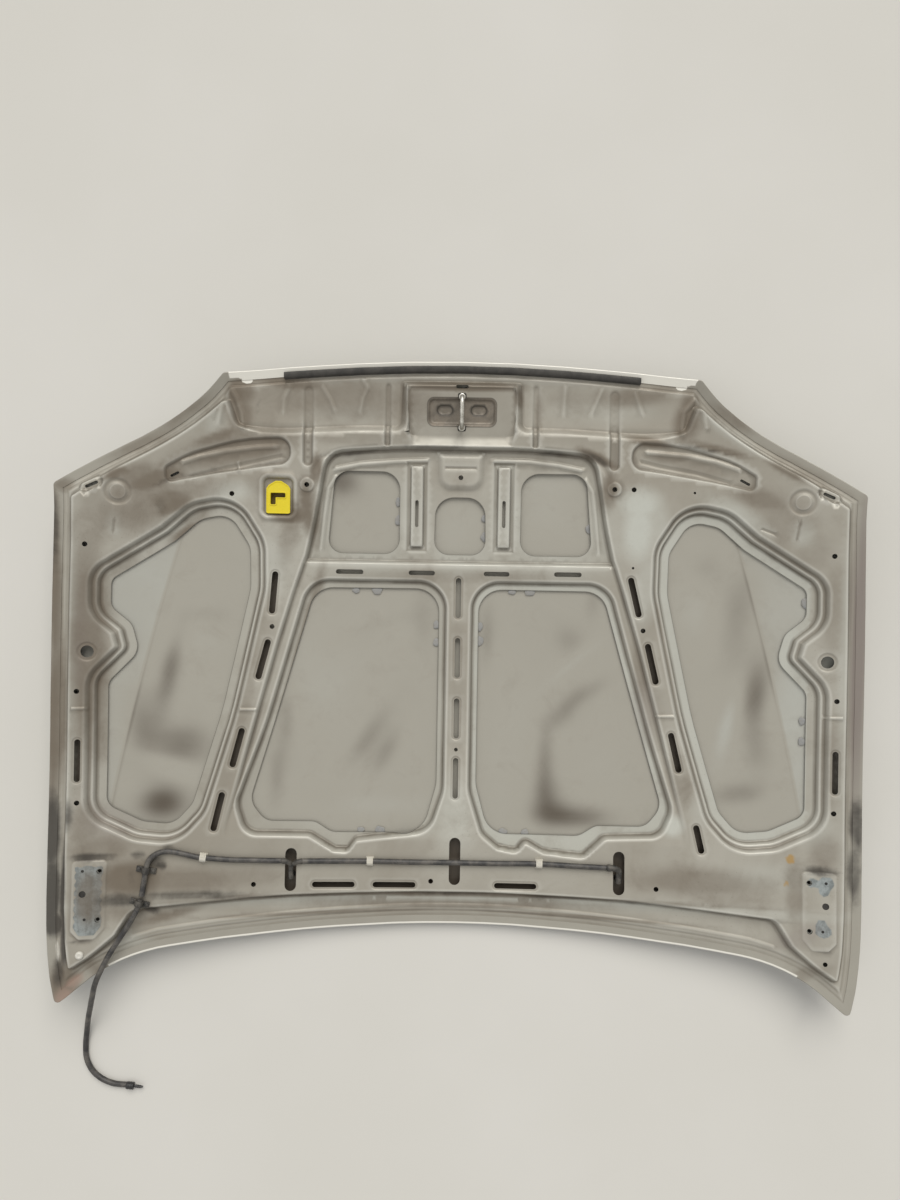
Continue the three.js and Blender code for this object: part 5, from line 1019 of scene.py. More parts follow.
# Stains and some painted light and shade, each x, y, half length, half width, strength and, where it is turned, its
# degrees
STAINS = {
    "brown": [
        (-386, 506, 26, 34, 0.8), (-300, 520, 70, 14, 0.8, -4), (-110, 500, 14, 34, 0.5), (310, 505, 70, 20, 0.6, 6),
        (398, 475, 20, 50, 0.7), (200, 500, 60, 22, 0.35), (-350, 460, 40, 24, 0.4), (-500, 372, 60, 20, 0.6, 30),
        (-557, 350, 44, 24, 0.7, 20), (-508, 310, 44, 22, 0.8, 10), (-470, 285, 40, 16, 0.6, 30),
        (-620, 290, 40, 50, 0.5), (-350, 345, 40, 30, 0.4), (-300, 300, 40, 20, 0.6), (522, 327, 60, 20, 0.6, -20),
        (420, 380, 70, 16, 0.5, -12), (610, 240, 40, 40, 0.4), (-214, 344, 10, 20, 0.4), (-262, 300, 14, 70, 0.6, 6),
        (262, 340, 16, 40, 0.7, -6), (370, 400, 40, 14, 0.6), (-612, -383, 16, 60, 0.6), (-560, -350, 60, 34, 0.95),
        (-470, -355, 110, 24, 0.6), (-360, -350, 80, 20, 0.45), (0, -385, 560, 6, 0.8), (-330, -388, 240, 8, 0.7, 2),
        (-250, -420, 260, 4, 0.6, 2), (230, -420, 260, 4, 0.6, -2), (0, -407, 130, 5, 0.5),
        (-348, 67, 18, 80, 0.3, -12), (-400, -150, 20, 90, 0.35, -12), (350, -28, 20, 80, 0.35, 12),
        (400, -168, 20, 60, 0.45, 12), (0, 185, 260, 14, 0.45), (0, 20, 16, 150, 0.3), (470, -370, 90, 16, 0.45),
        (325, 20, 14, 70, 0.5, 8), (-590, 200, 40, 24, 0.5, 40), (-640, 150, 20, 90, 0.5),
        (-655, -120, 20, 120, 0.45), (-640, -260, 30, 50, 0.5), (-696, 150, 10, 170, 0.9), (-690, -60, 12, 160, 0.75),
        (-680, 330, 20, 14, 0.7), (646, 120, 20, 120, 0.4), (650, -120, 20, 90, 0.45), (640, -280, 30, 40, 0.5),
        (590, -370, 16, 60, 0.5), (-560, 405, 70, 12, 0.6, 28), (-480, 465, 60, 12, 0.6, 36),
        (600, 370, 100, 14, 0.5, -30), (470, 470, 50, 12, 0.6, -34), (-600, -520, 60, 16, 0.6, -32),
        (-672, -530, 26, 40, 0.9), (610, -500, 60, 14, 0.5, 32), (0, 519, 104, 9, 1.1), (-385, 462, 22, 34, 0.75),
        (388, 458, 20, 34, 0.75), (-648, 60, 26, 120, 0.5), (-640, 250, 40, 60, 0.45), (-596, 310, 60, 40, 0.45, 20),
        (-420, 372, 90, 30, 0.45, 12), (-560, -395, 60, 30, 0.6), (-500, 430, 90, 14, 0.5, 33),
        (-440, 330, 60, 20, 0.45, 10), (-640, 60, 36, 210, 0.75), (-560, 300, 110, 56, 0.6, 20),
        (-400, 400, 130, 34, 0.7, 12), (-180, 490, 190, 44, 0.55), (-180, 425, 110, 16, 0.45), (0, -402, 320, 9, 0.7),
        (430, -345, 130, 30, 0.6), (570, 290, 60, 60, 0.45), (-283, 45, 13, 170, 0.85, -14),
        (-478, 258, 44, 13, 0.9, 30), (-632, -380, 22, 60, 0.7), (-375, -40, 14, 230, 0.4, -12),
        (-699, 180, 12, 170, 0.9), (-699, -80, 12, 150, 0.9), (-610, -300, 60, 30, 0.6),
        (-300, 260, 20, 90, 0.45, -14), (-530, 345, 60, 18, 0.9, 20), (-500, 300, 40, 13, 0.9, 30),
        (-300, 288, 36, 14, 1.0), (-272, 306, 12, 50, 0.9, 6), (-396, 500, 14, 26, 1.0), (-430, 420, 50, 10, 0.8, 20),
        (-256, 372, 12, 30, 0.8), (240, 398, 40, 9, 0.95, -25), (330, 427, 40, 9, 0.9, -10),
        (450, 412, 60, 8, 0.8, -15), (560, 374, 40, 8, 0.8, -30), (137, 470, 8, 50, 0.5), (100, 500, 10, 20, 0.7),
        (-500, -420, 60, 10, 0.7, 14), (590, -330, 20, 30, 0.6), (-590, 352, 26, 10, 0.9, 20),
    ],
    # Lighter patches; the long one on the rear shelf is painted light where the rear beam shades it, and the small
    # one at the right arm's foot (385, -250) is a painted highlight
    "light": [
        (-160, 270, 110, 90, 0.55), (160, 270, 110, 90, 0.6), (0, 230, 60, 40, 0.5), (-40, 425, 110, 6, 0.25),
        (316, 318, 34, 26, 1.1), (316, 270, 26, 50, 1.1), (-407, 326, 34, 16, 0.8, 10), (349, 284, 20, 40, 0.5, 10),
        (330, 170, 26, 60, 0.5, -12), (-330, 205, 30, 50, 0.4, 10), (385, -250, 16, 16, 1.2, 40),
        (0, -240, 34, 60, 0.6), (-80, -260, 60, 20, 0.5), (100, -260, 60, 20, 0.5), (0, -394, 620, 12, 0.7),
        (480, 300, 60, 18, 0.7, -30), (-500, 270, 50, 14, 0.6, 30), (-430, 450, 16, 24, 0.5),
        (470, 440, 60, 10, 0.5, -34), (-480, 440, 60, 10, 0.6, 34), (620, -240, 30, 30, 0.4), (250, 478, 90, 20, 0.3),
        (-200, 470, 60, 14, 0.35), (-596, 265, 12, 20, 0.6), (590, 270, 16, 22, 0.6), (-560, -470, 60, 18, 0.4, -24),
        (-664, 60, 10, 240, 0.4), (560, -330, 70, 20, 0.35), (440, -215, 22, 30, 0.4, -20), (664, 40, 8, 260, 0.4),
    ],
    # Smudges by the left hinge; the thin lines along the feet of walls, front and rear, are painted shade
    "soot_and_shade": [
        (-699, -275, 14, 70, 1.0), (-697, -370, 14, 66, 1.1), (-690, -430, 16, 22, 1.0), (-668, -240, 10, 30, 0.7),
        (-676, -370, 8, 80, 1.0), (-672, -450, 8, 60, 1.0), (-627, -312, 36, 8, 0.85), (632, -315, 30, 7, 0.7),
        (-553, -310, 14, 8, 0.8), (-524, -322, 18, 12, 0.8), (-513, -330, 10, 6, 0.9, -20), (-500, -300, 14, 8, 0.7),
        (-575, -386, 40, 12, 0.75), (-534, -406, 18, 9, 0.85, -30), (-470, -380, 90, 8, 0.7),
        (-415, -384, 40, 6, 0.6), (-300, -388, 90, 4, 0.6), (0, -384, 70, 4, 0.6), (210, -386, 80, 4, 0.55),
        (330, -392, 60, 4, 0.5), (697, -240, 13, 50, 0.85), (692, -320, 12, 60, 0.7), (-640, -455, 24, 4, 0.6),
        (560, -405, 40, 6, 0.5), (-575, -440, 8, 26, 0.7, -32), (-680, -510, 10, 26, 0.8), (-655, -150, 9, 44, 0.3),
        (-699, 255, 10, 60, 0.75), (-455, 360, 40, 7, 0.4, 16), (-350, 378, 50, 5, 0.4, 12),
        (430, 412, 60, 5, 0.6, -12), (240, 396, 26, 7, 0.7, -30), (150, 408, 60, 4, 0.5, -4),
        (-200, 400, 60, 4, 0.5, 8), (-40, 414, 60, 4, 0.6), (-508, 345, 30, 5, 0.5, 26), (-520, 300, 12, 16, 0.35),
        (-360, 470, 5, 30, 0.4, -10), (640, -452, 20, 5, 0.5), (-560, -350, 8, 26, 0.4, 8),
    ],
    "mauve": [
        (694, 60, 12, 260, 0.9), (684, 160, 10, 130, 0.5), (330, -60, 30, 80, 0.4), (-590, -250, 60, 40, 0.4),
        (-650, 60, 16, 120, 0.3), (600, -430, 60, 20, 0.4, 30),
    ],
    "pink": [
        (-668, -556, 20, 24, 0.7), (-655, -528, 22, 10, 0.7, 40),
    ],
    "ochre": [
        (584, -297, 9, 10, 0.8), (577, -341, 7, 8, 0.6),
    ],
    "pale": [
        (-377, 522, 9, 5, 1.2), (384, 522, 9, 5, 1.2), (-684, -475, 7, 30, 0.5, 4),
    ],
}
SHARED_STAINS = [name for name in STAINS if name != "light"]

# Bare steel on the right hinge pad: x, y, half width, half length
HINGE_BARE = [(641, -335, 11, 9), (638, -344, 8, 12), (636, -417, 12, 9), (633, -408, 8, 10), (620, -336, 8, 6)]

# Lighter and darker areas of the skin seen through the openings and slots, in the same form; the strong dark band
# along the rear row of slots is painted shade
SKIN_TONES_AND_SHADE = [
    (0, -355, 330, 26, -2.0), (-512, 10, 16, 66, -0.7, -12), (-493, -120, 50, 34, -0.6), (-521, -225, 34, 26, -0.9),
    (-560, -80, 20, 50, -0.4), (-500, -165, 60, 14, 0.4, -20), (-450, 110, 40, 16, -0.3), (-470, 60, 40, 40, 0.15),
    (-158, -104, 18, 60, -0.5, -34), (-128, -134, 16, 44, -0.45, -30), (-307, -78, 14, 50, -0.4),
    (-323, -174, 14, 50, -0.4), (-155, 92, 60, 14, -0.25, 20), (-65, 112, 20, 50, -0.25), (-243, -29, 60, 70, 0.2),
    (-120, -230, 90, 20, 0.25), (232, -20, 40, 14, -0.35, 30), (190, -62, 30, 18, -0.45, 45),
    (160, -140, 16, 60, -0.55), (165, -215, 30, 40, -0.6), (215, -245, 60, 20, -0.8), (202, 75, 24, 24, -0.3),
    (242, 142, 14, 30, -0.3), (52, 80, 12, 50, -0.4), (212, 36, 60, 8, 0.35, 40), (120, -40, 60, 60, 0.15),
    (250, -130, 40, 60, 0.1), (500, 140, 26, 60, -0.35, -10), (532, -20, 20, 60, -0.75, -8), (500, 40, 30, 60, -0.2),
    (539, -119, 26, 40, -0.5), (506, -192, 50, 20, -0.5, 10), (483, -70, 12, 60, 0.45, -14), (442, 205, 30, 34, -0.3),
    (419, 130, 30, 50, 0.3), (-160, 320, 50, 50, -0.1), (-214, 352, 26, 24, -0.7), (160, 320, 60, 50, 0.2),
    (0, 280, 50, 50, 0.15),
]
MARK_REACH = 1.5
PLAIN_TONE = 0.5
MARK_TONE = 0.42
# Painted light outside the crease and a painted shade line along it
CREASE_OUTSIDE_LIGHT = 0.14
CREASE_SHADE_LINE, CREASE_SHADE_AT = 0.12, -3
# Painted shade on the skin under the shaded slots, and how far it reaches
SLOT_SHADE, SLOT_SHADE_REACH = 0.9, 12
SHADED_SLOTS = [s for s in SLOTS if s[4] > 9 and (abs(s[0]) > 250 or s[1] < -300)]


def spread(mark, x, y):
    """Distance from the middle of a mark, in its own half axes"""
    cx, cy, rx, ry = mark[:4]
    a = math.radians(mark[5]) if len(mark) > 5 else 0
    u = ((x - cx) * math.cos(a) + (y - cy) * math.sin(a)) / rx
    v = ((y - cy) * math.cos(a) - (x - cx) * math.sin(a)) / ry
    return np.hypot(u, v)


def painted(name, x, y):
    total = np.zeros(x.shape)
    for mark in STAINS[name]:
        total = np.maximum(total, mark[4] * np.clip(MARK_REACH - spread(mark, x, y), 0, 1))
    return total


def skin_tone(x, y):
    """Plain tone changed by the marks: lighter outside the crease and darker along it and under the slots, as painted
    light and shade
    """
    past = abs(x) - crease_x(y)
    line = np.exp(-(past - CREASE_SHADE_AT) ** 2 / 8)
    total = PLAIN_TONE + CREASE_OUTSIDE_LIGHT * ease(past / 5 + 0.5) - CREASE_SHADE_LINE * line
    for mark in SKIN_TONES_AND_SHADE:
        total = total + MARK_TONE * mark[4] * np.exp(-spread(mark, x, y) ** 2 * 0.7)
    for x0, y0, x1, y1, _ in SHADED_SLOTS:
        d = line_distance(x, y, [(x0, y0), (x1, y1)], False, 30)
        total = total - SLOT_SHADE * np.exp(-(d / SLOT_SHADE_REACH) ** 2)
    return total


# Inner panel
BEND_PROBE = 3
RING_SPACING = 6.2
GRID_SPACING = 8
SLOT_SPACING, ROUND_SPACING = 2.5, 3
FLOOR_HALF = 268
BUMP_INNER_RINGS = [13, 12.2, 11.2, 10.5]
RIDGE_LINES = (-1, -0.58, 0, 0.58, 1)


def bends(start, run):
    """Where a wall starts, where its bends end, and where it ends"""
    return [round(start + run * t, 1) for t in (0, BEND_SHARE, 1 - BEND_SHARE, 1)]


def panel_plan():
    plan = Plan(offset(EDGE, PANEL_EDGE_INSET), RING_SPACING)
    plan.contours(EDGE, bends(HEM_WIDTH, FLANGE_WIDTH - HEM_WIDTH) + bends(FLANGE_WIDTH, FLANGE_BLEND)[1:])
    plan.contours(PLATEAU_RING, [-3.5, *bends(0, PLATEAU_WALL), 13.5])
    plan.contours(LOW, [3.5, *bends(0, -FLANK), -11.5])
    for poly in OPENINGS:
        plan.hole(poly)
    for poly in OPENINGS:
        plan.contours(poly, [-1.2, -3.2])
    for poly in SIDE_WALLS:
        plan.contours(poly, [11.5, *bends(-SIDE_FOOT, -SIDE_FOOT_WALL), *bends(-SIDE_HEAD, -SIDE_HEAD_WALL), -13.5])
    for poly in BIG_WALLS:
        plan.contours(poly, [7.5, *bends(BIG_WALL, -2 * BIG_WALL), -7.5])
    for y in bends(FLOOR_FROM, FLOOR_WALL):
        plan.line(np.array([(-FLOOR_HALF, y), (FLOOR_HALF, y)]), False)
    for poly in POCKETS:
        plan.contours(poly, bends(0, POCKET_WALL))
    for poly in HINGES:
        plan.contours(poly, bends(0, -HINGE_WALL))
    plan.contours(TAB, [0, 5, 10, TAB_WALL])
    plan.contours(SOCKET_RECESS, [-6.5, RECESS_BEAD_AT, *bends(0, RECESS_WALL)])
    plan.contours(LATCH_PAD, [0])
    plan.contours(LATCH_FOOT, [0, 3])
    for bead in BEADS:
        plan.contours(capsule(*bead), bends(0, BEAD_WALL))
    for cx in (RIB_X, -RIB_X):
        low, high = RIB_ENDS
        box = [(cx - RIB_HALF, low), (cx + RIB_HALF, low), (cx + RIB_HALF, high), (cx - RIB_HALF, high)]
        plan.contours(np.array(box), [-RIB_MOAT, RIB_MOAT_WALL - RIB_MOAT, *bends(0, RIB_WALL)])
    round_forms = ((BOSSES, bends(BOSS[0], -BOSS[1]), 24),
                   (BUMP_PADS, bends(BUMP_RING[0], -BUMP_RING[1]) + BUMP_INNER_RINGS, 30),
                   (SIDE_HOLES, bends(SIDE_HOLE_DISH[0], -SIDE_HOLE_DISH[1]), 28))
    for places, radii, sides in round_forms:
        for cx, cy in places:
            for r in radii:
                plan.line(disc(cx, cy, r, sides), True, ROUND_SPACING)
    for slot in SLOTS:
        plan.hole(capsule(*slot), SLOT_SPACING)
    for slot in CORNER_SLOTS:
        plan.contours(capsule(*slot[:4], CORNER_RADIUS), [0, -6.5])
    for slot in DISHED_SLOTS:
        plan.contours(capsule(*slot), [-2, -3, -4, -DISH_MARGIN])
    for x, y, d in HOLES:
        plan.hole(disc(x, y, d / 2, 20 if d > 6 else 14), 1)
    plan.hole(SOCKET_HOLE, ROUND_SPACING)
    plan.hole(WINDOW, ROUND_SPACING)
    plan.contours(WINDOW, [-1.5])
    for path, half, _ in RIDGES:
        line = smooth_path([(*p, 0) for p in path], 5)[:, :2]
        run = np.gradient(line, axis=0)
        run /= np.linalg.norm(run, axis=1)[:, None]
        across = np.stack([-run[:, 1], run[:, 0]], 1)
        for k in RIDGE_LINES:
            plan.line(line + across * half * k, False)
    return plan


RIM_SHADOW_WIDTH = 1.3
PAD_STEEL = 0.75
BARE_REACH = 1.6
HOLLOW_SHADE_BEND, CREST_HIGHLIGHT_BEND = 0.3, 0.32
LIGHT_LEDGE_HALF, LIGHT_LEDGE_Y, LIGHT_LEDGE_REACH = 615, 60, 400
LEDGE_LEFT, LEDGE_RIGHT, LEDGE_OUTER = 0.3, 0.8, 0.2


def build_panel():
    points, tris = panel_plan().mesh(GRID_SPACING)
    obj = sheet_object("bonnet_inner_panel", points, tris, panel_height, PANEL_THICKNESS,
                       "panel_paint", ["inner_panel"])
    x, y = points.T
    r = BEND_PROBE
    here = panel_height(x, y)
    nearby = sum(panel_height(x + a, y + b) for a, b in ((r, 0), (-r, 0), (0, r), (0, -r)))
    bend = (nearby - 4 * here) / r ** 2
    # Painted shadow along the edges of the openings and the window, with dark mastic
    rim = np.zeros(len(x))
    for poly in OPENINGS + [WINDOW]:
        rim = np.maximum(rim, np.clip(1 - abs(depth(x, y, poly, 6)) / RIM_SHADOW_WIDTH, 0, 1))
    steel = PAD_STEEL * (depth(x, y, HINGES[1], 8) > 3)
    for cx, cy, wide, tall in HINGE_BARE:
        steel = np.maximum(steel, np.clip(BARE_REACH - np.hypot((x - cx) / wide, (y - cy) / tall), 0, 1))
    # Lighter at the ledge level, more on the right, added to the "light" field with its painted light
    cover = np.where(abs(x) < LIGHT_LEDGE_HALF, lerp(LEDGE_LEFT, LEDGE_RIGHT, ease((x + 60) / 120)), LEDGE_OUTER)
    ledge = np.clip(1 - abs(here - skin_z(x, y) - LEDGE) / 2, 0, 1) * cover
    ledge = np.where(abs(y - LIGHT_LEDGE_Y) < LIGHT_LEDGE_REACH, ledge, 0)
    paint_field(obj, "light", np.maximum(painted("light", x, y), ledge))
    # Concave bends: painted shade and dirt
    paint_field(obj, "shade_and_dirt_in_hollows", bend / HOLLOW_SHADE_BEND)
    # Convex bends: painted highlight and wear
    paint_field(obj, "highlight_and_wear_on_crests", -bend / CREST_HIGHLIGHT_BEND)
    paint_field(obj, "rim", rim)
    paint_field(obj, "steel", steel)
    for name in SHARED_STAINS:
        paint_field(obj, name, painted(name, x, y))


build_panel()


# Outer skin with its rolled hem
SKIN_SPACING = 7
SKIN_GRID = 9
CREASE_LINES = (-8, -3, 0, 3, 8)
JET_HOLE = 5.3
FOLD_STEPS = 8
HEM_TONE = 0.4
LIP_FROM, LIP_HALF = 522, 408
REAR_REFLECTION_WIDTH, REAR_TO, REAR_HALF = 5, -430, 600


def build_skin():
    """Skin with its folded hem; pale on the lip at the seal is partly a painted highlight, and on the rear edge a
    painted reflection of the rolled edge
    """
    fold = offset(EDGE, FOLD_INSET)
    hem_end = offset(EDGE, HEM_WIDTH)
    jets = [disc(x, y, JET_HOLE, 20) for x, y in JETS]
    plan = Plan(fold, SKIN_SPACING)
    plan.contours(EDGE, [HEM_WIDTH])
    for poly in jets:
        plan.hole(poly, 2)
    ys = np.linspace(-440, 420, 90)
    for side in (1, -1):
        for lean in CREASE_LINES:
            plan.line(np.stack([side * (crease_x(ys) + lean), ys], 1), False, SKIN_GRID)
    points, tris = plan.mesh(SKIN_GRID)
    hem_plan = Plan(fold, SKIN_SPACING)
    hem_plan.hole(hem_end)
    hem_plan.contours(EDGE, [6])
    hem_points, hem_tris = hem_plan.mesh(30)

    verts, faces, inner = [], [], []

    def layer(xy, rise, level):
        start = len(verts)
        verts.extend(zip(xy[:, 0], xy[:, 1], skin_z(xy[:, 0], xy[:, 1]) + rise))
        inner.extend([level] * len(xy))
        return start

    def wall(ring, low, high, low_level=1):
        a, b = layer(ring, low, low_level), layer(ring, high, 1)
        faces.extend(band(b, a, len(ring)))

    hem_under = HEM_HEIGHT - SKIN_THICKNESS
    faces.extend((tris[:, ::-1] + layer(points, 0, 0)).tolist())
    faces.extend((tris + layer(points, SKIN_THICKNESS, 1)).tolist())
    for poly in jets:
        wall(spaced(poly, 2), 0, SKIN_THICKNESS, 0)
    faces.extend((hem_tris + layer(hem_points, HEM_HEIGHT, 1)).tolist())
    faces.extend((hem_tris[:, ::-1] + layer(hem_points, hem_under, 1)).tolist())
    wall(spaced(hem_end, SKIN_SPACING), hem_under, HEM_HEIGHT)
    base = spaced(fold, SKIN_SPACING)
    wall(base, SKIN_THICKNESS, hem_under)
    out = np.roll(base, -1, 0) - np.roll(base, 1, 0)
    out = np.stack([out[:, 1], -out[:, 0]], 1) / np.linalg.norm(out, axis=1)[:, None]
    start, m = len(verts), len(base)
    for k in range(FOLD_STEPS + 1):
        a = math.pi * k / FOLD_STEPS
        ring = base + out * FOLD_INSET * math.sin(a)
        rise = HEM_HEIGHT / 2 * (1 - math.cos(a))
        verts.extend(zip(ring[:, 0], ring[:, 1], skin_z(base[:, 0], base[:, 1]) + rise))
        inner.extend([1 if k > FOLD_STEPS // 2 else 0] * m)
    for k in range(FOLD_STEPS):
        faces.extend(band(start + k * m, start + (k + 1) * m, m))

    obj = make_object("bonnet_outer_skin", metres(verts), faces, "skin_paint", ["outer_skin"], angle=50)
    x, y, _ = np.array(verts).T
    into = depth(x, y, EDGE, 30)
    hem = abs(into) < HEM_WIDTH + 0.5
    paint_field(obj, "inner", inner)
    paint_field(obj, "tone", np.where(hem, HEM_TONE, skin_tone(x, y)))
    # Pale on the lip is partly a painted highlight; on the rear edge it is a painted reflection
    lip_paint_and_highlight = hem & (y > LIP_FROM) & (abs(x) < LIP_HALF)
    rear_reflection = (abs(into) < REAR_REFLECTION_WIDTH) & (y < REAR_TO) & (abs(x) < REAR_HALF)
    for name in SHARED_STAINS:
        stain = np.where(lip_paint_and_highlight | rear_reflection, 1.0 * (name == "pale"), painted(name, x, y))
        paint_field(obj, name, np.where(hem, stain, 0))


build_skin()


# Front weather seal
SEAL_HALF = 312
SEAL_SETBACK = 7.5
SEAL_SQUEEZE = 0.06
SEAL_WAVE = 9
SEAL_PROFILE = [
    (0, 0), (12, 0), (12, 1.6), (10.6, 2.2), (11.6, 4.2), (11.4, 6.2), (9.2, 7.7), (6, 8), (3.4, 7.6), (1.4, 6.2),
    (0.5, 4.2), (1.6, 2.2), (0, 1.6),
]


def front_edge_y(x):
    front = EDGE[EDGE[:, 1] > 400]
    order = np.argsort(front[:, 0])
    return float(np.interp(x, front[order, 0], front[order, 1]))


def build_seal():
    """Rubber strip, squeezed a little unevenly along its length"""
    rows = 160
    foot = HEM_HEIGHT + FIT_GAP + 0.1
    verts, faces = [], []
    m = len(SEAL_PROFILE)
    for k in range(rows + 1):
        x = lerp(-SEAL_HALF, SEAL_HALF, k / rows)
        squeeze = 1 - SEAL_SQUEEZE * (0.5 + 0.5 * math.sin(x / SEAL_WAVE)) * (1 if k % 2 else 0.6)
        for back, up in SEAL_PROFILE:
            y = front_edge_y(x) - SEAL_SETBACK - back
            verts.append((x, y, float(skin_z(x, y)) + foot + up * squeeze))
    for k in range(rows):
        for i in range(m):
            a, b = k * m + i, k * m + (i + 1) % m
            faces.append((b + m, b, a, a + m))
    faces.append(tuple(range(m)))
    faces.append(tuple(rows * m + i for i in range(m - 1, -1, -1)))
    make_object("front_weather_seal", metres(verts), faces, "seal_rubber", ["front_seal"], angle=50)


build_seal()

# Latch reinforcement and striker
latch_tilt = math.atan(LATCH_RUN)
plate_top = -(PANEL_THICKNESS / math.cos(latch_tilt) + FIT_GAP)
to_latch = placed((0, LATCH_Y, float(latch_plane(LATCH_Y))), Matrix.Rotation(latch_tilt, 4, "X"))


def flat_box(w, h, r):
    return rounded([(-w / 2, -h / 2, r), (w / 2, -h / 2, r), (w / 2, h / 2, r), (-w / 2, h / 2, r)])


LATCH_PLATE = flat_box(146, 73, 14)
LATCH_DISH = flat_box(120, 47, 11)
LATCH_DIMPLES = [capsule(side * 30 - 14, 3, side * 30 + 14, 3, 17) for side in (-1, 1)]
LATCH_THICKNESS = 1.6
LATCH_DISH_DEPTH, LATCH_DISH_WALL = 5, 5
DIMPLE_DEPTH, DIMPLE_WALL = 2, 2
LEG_Y = 27
LEG_BOSS = (9, 3, 1)
NOTCH_Y, NOTCH_REACH, NOTCH_HALF = 31, 2.2, (8, 5)
DIMPLE_GRIME = 0.75


def latch_plate_height(x, y):
    h = plate_top - LATCH_DISH_DEPTH * ease(depth(x, y, LATCH_DISH, 8) / LATCH_DISH_WALL)
    for poly in LATCH_DIMPLES:
        h = h - DIMPLE_DEPTH * ease(depth(x, y, poly, 4) / DIMPLE_WALL)
    for side in (-1, 1):
        h = h + round_form(x, y, (0, side * LEG_Y), LEG_BOSS)
    return h


def build_latch_plate():
    """Dished plate with two dimples, dark at the striker's feet and round the dimples"""
    plan = Plan(LATCH_PLATE, 4)
    plan.contours(LATCH_DISH, bends(0, LATCH_DISH_WALL))
    for poly in LATCH_DIMPLES:
        plan.contours(poly, [0, 1, DIMPLE_WALL])
    for side in (-1, 1):
        for r in (9, 7.5, 6):
            plan.line(disc(0, side * LEG_Y, r, 24), True, 2)
    points, tris = plan.mesh(4)
    x, y = points.T
    z = latch_plate_height(x, y)
    verts = np.vstack([np.stack([x, y, z], 1), np.stack([x, y, z - LATCH_THICKNESS], 1)])
    part = moved((verts.tolist(), closed_sheet(tris, len(x))[0]), to_latch)
    obj = make_object("latch_plate", *part, "latch_plate_steel", ["latch_reinforcement"], angle=60)
    x, y, _ = verts.T
    notch = np.clip(NOTCH_REACH - np.hypot(x / NOTCH_HALF[0], (abs(y) - NOTCH_Y) / NOTCH_HALF[1]), 0, 1)
    ring = sum(np.exp(-depth(x, y, poly, 9) ** 2 / 3) for poly in LATCH_DIMPLES)
    paint_field(obj, "grime_and_shade", np.maximum(notch, DIMPLE_GRIME * ring))


build_latch_plate()

ROD = 3.9
STRIKER_REACH = 27
ROD_TOP = STRIKER_REACH - ROD
BEND = 12
FOOT_Z = plate_top + FIT_GAP
COLLAR_PROFILE = [(ROD, 0), (6.4, 0), (5.6, 0.9), (4.6, 1.5), (ROD, 1.6)]


def build_striker():
    """Bent rod on two feet, drawn from one foot to the middle and mirrored"""
    path = [(0, LEG_Y, lerp(FOOT_Z, ROD_TOP - BEND, t)) for t in (0, 0.5, 1)]
    path += [(0, LEG_Y - BEND * (1 - math.cos(a)), ROD_TOP - BEND * (1 - math.sin(a)))
             for a in np.radians((15, 30, 45, 60, 75, 90))]
    path += [(0, 8, ROD_TOP), (0, 0, ROD_TOP)]
    path += [(0, -y, z) for _, y, z in path[-2::-1]]
    collar = lathe([(r, FOOT_Z + h) for r, h in COLLAR_PROFILE], 24)
    whole = join(tube(path, ROD, 20), *(shifted(collar, 0, s * LEG_Y, 0) for s in (1, -1)))
    make_object("striker_loop", *moved(whole, to_latch), "striker_steel", ["striker"])


build_striker()


# Washer hoses along the rear beam
def panel_at(x, y):
    return float(panel_height(np.array([float(x)]), np.array([float(y)]))[0])


HOSE_LIFT = HOSE_RADIUS + 1.4
MAIN_RUN = [
    (-541, -378), (-539, -362), (-537, -346), (-535, -331), (-530, -316), (-519, -307), (-505, -303),
    (-490, -304), (-472, -308), (-452, -313), (-436, -315), (-415, -317), (-390, -319), (-355, -320),
    (-322, -321), (-306, -321),
]
CROSS_RUN = [
    (-268, -322), (-220, -322), (-150, -322), (-75, -323), (-25, -323), (25, -323), (75, -323), (150, -322),
    (215, -324), (268, -325),
]


def over_panel(x, y):
    """Centre of a hose that bridges the dips of the panel under it"""
    around = [panel_at(x + a, y + b) for a, b in ((0, 0), (-9, 0), (9, 0), (0, -4), (0, 4))]
    return (x, y, max(around) + HOSE_LIFT)


def settled(run):
    return smooth_path([over_panel(x, y) for x, y in run], 4)


supply_line = settled(MAIN_RUN)
cross_line = settled(CROSS_RUN)
make_object("supply_hose", *tube(metres(supply_line), HOSE_RADIUS * MM), "hose_rubber", ["washer_hose_supply"])
make_object("cross_hose", *tube(metres(cross_line), HOSE_RADIUS * MM), "hose_rubber", ["washer_hose_cross"])

FITTING_STEP = 2.5
COLLAR_LENGTH, COLLAR_GROWTH = 6, 1.16
COLLAR_EDGE, COLLAR_EDGE_DROP = 1.2, 0.5


def collared(path, radius, ends):
    """Thick rubber fitting: a tube whose ends swell into collars"""
    line = smooth_path(path, FITTING_STEP)
    total = (len(line) - 1) * FITTING_STEP

    def radius_at(t):
        near = min(t * total if ends[0] else FAR, total - t * total if ends[1] else FAR)
        full = radius * (COLLAR_GROWTH if near < COLLAR_LENGTH else 1)
        return (full - (COLLAR_EDGE_DROP if near < COLLAR_EDGE else 0)) * MM
    return tube(metres(line), radius_at)


def drop_to_jet(jet, start):
    """Route of a fitting from the end of a hose down to the stem of a jet"""
    x, y = jet
    low = float(skin_z(x, y)) + SKIN_THICKNESS + 15
    z = start[2]
    return [start, (x - 8, start[1] - 1, z), (x, start[1] - 7, z - 4.5), (x, y + 9, lerp(z, low, 0.6)),
            (x, y, low + 4), (x, y, low)]


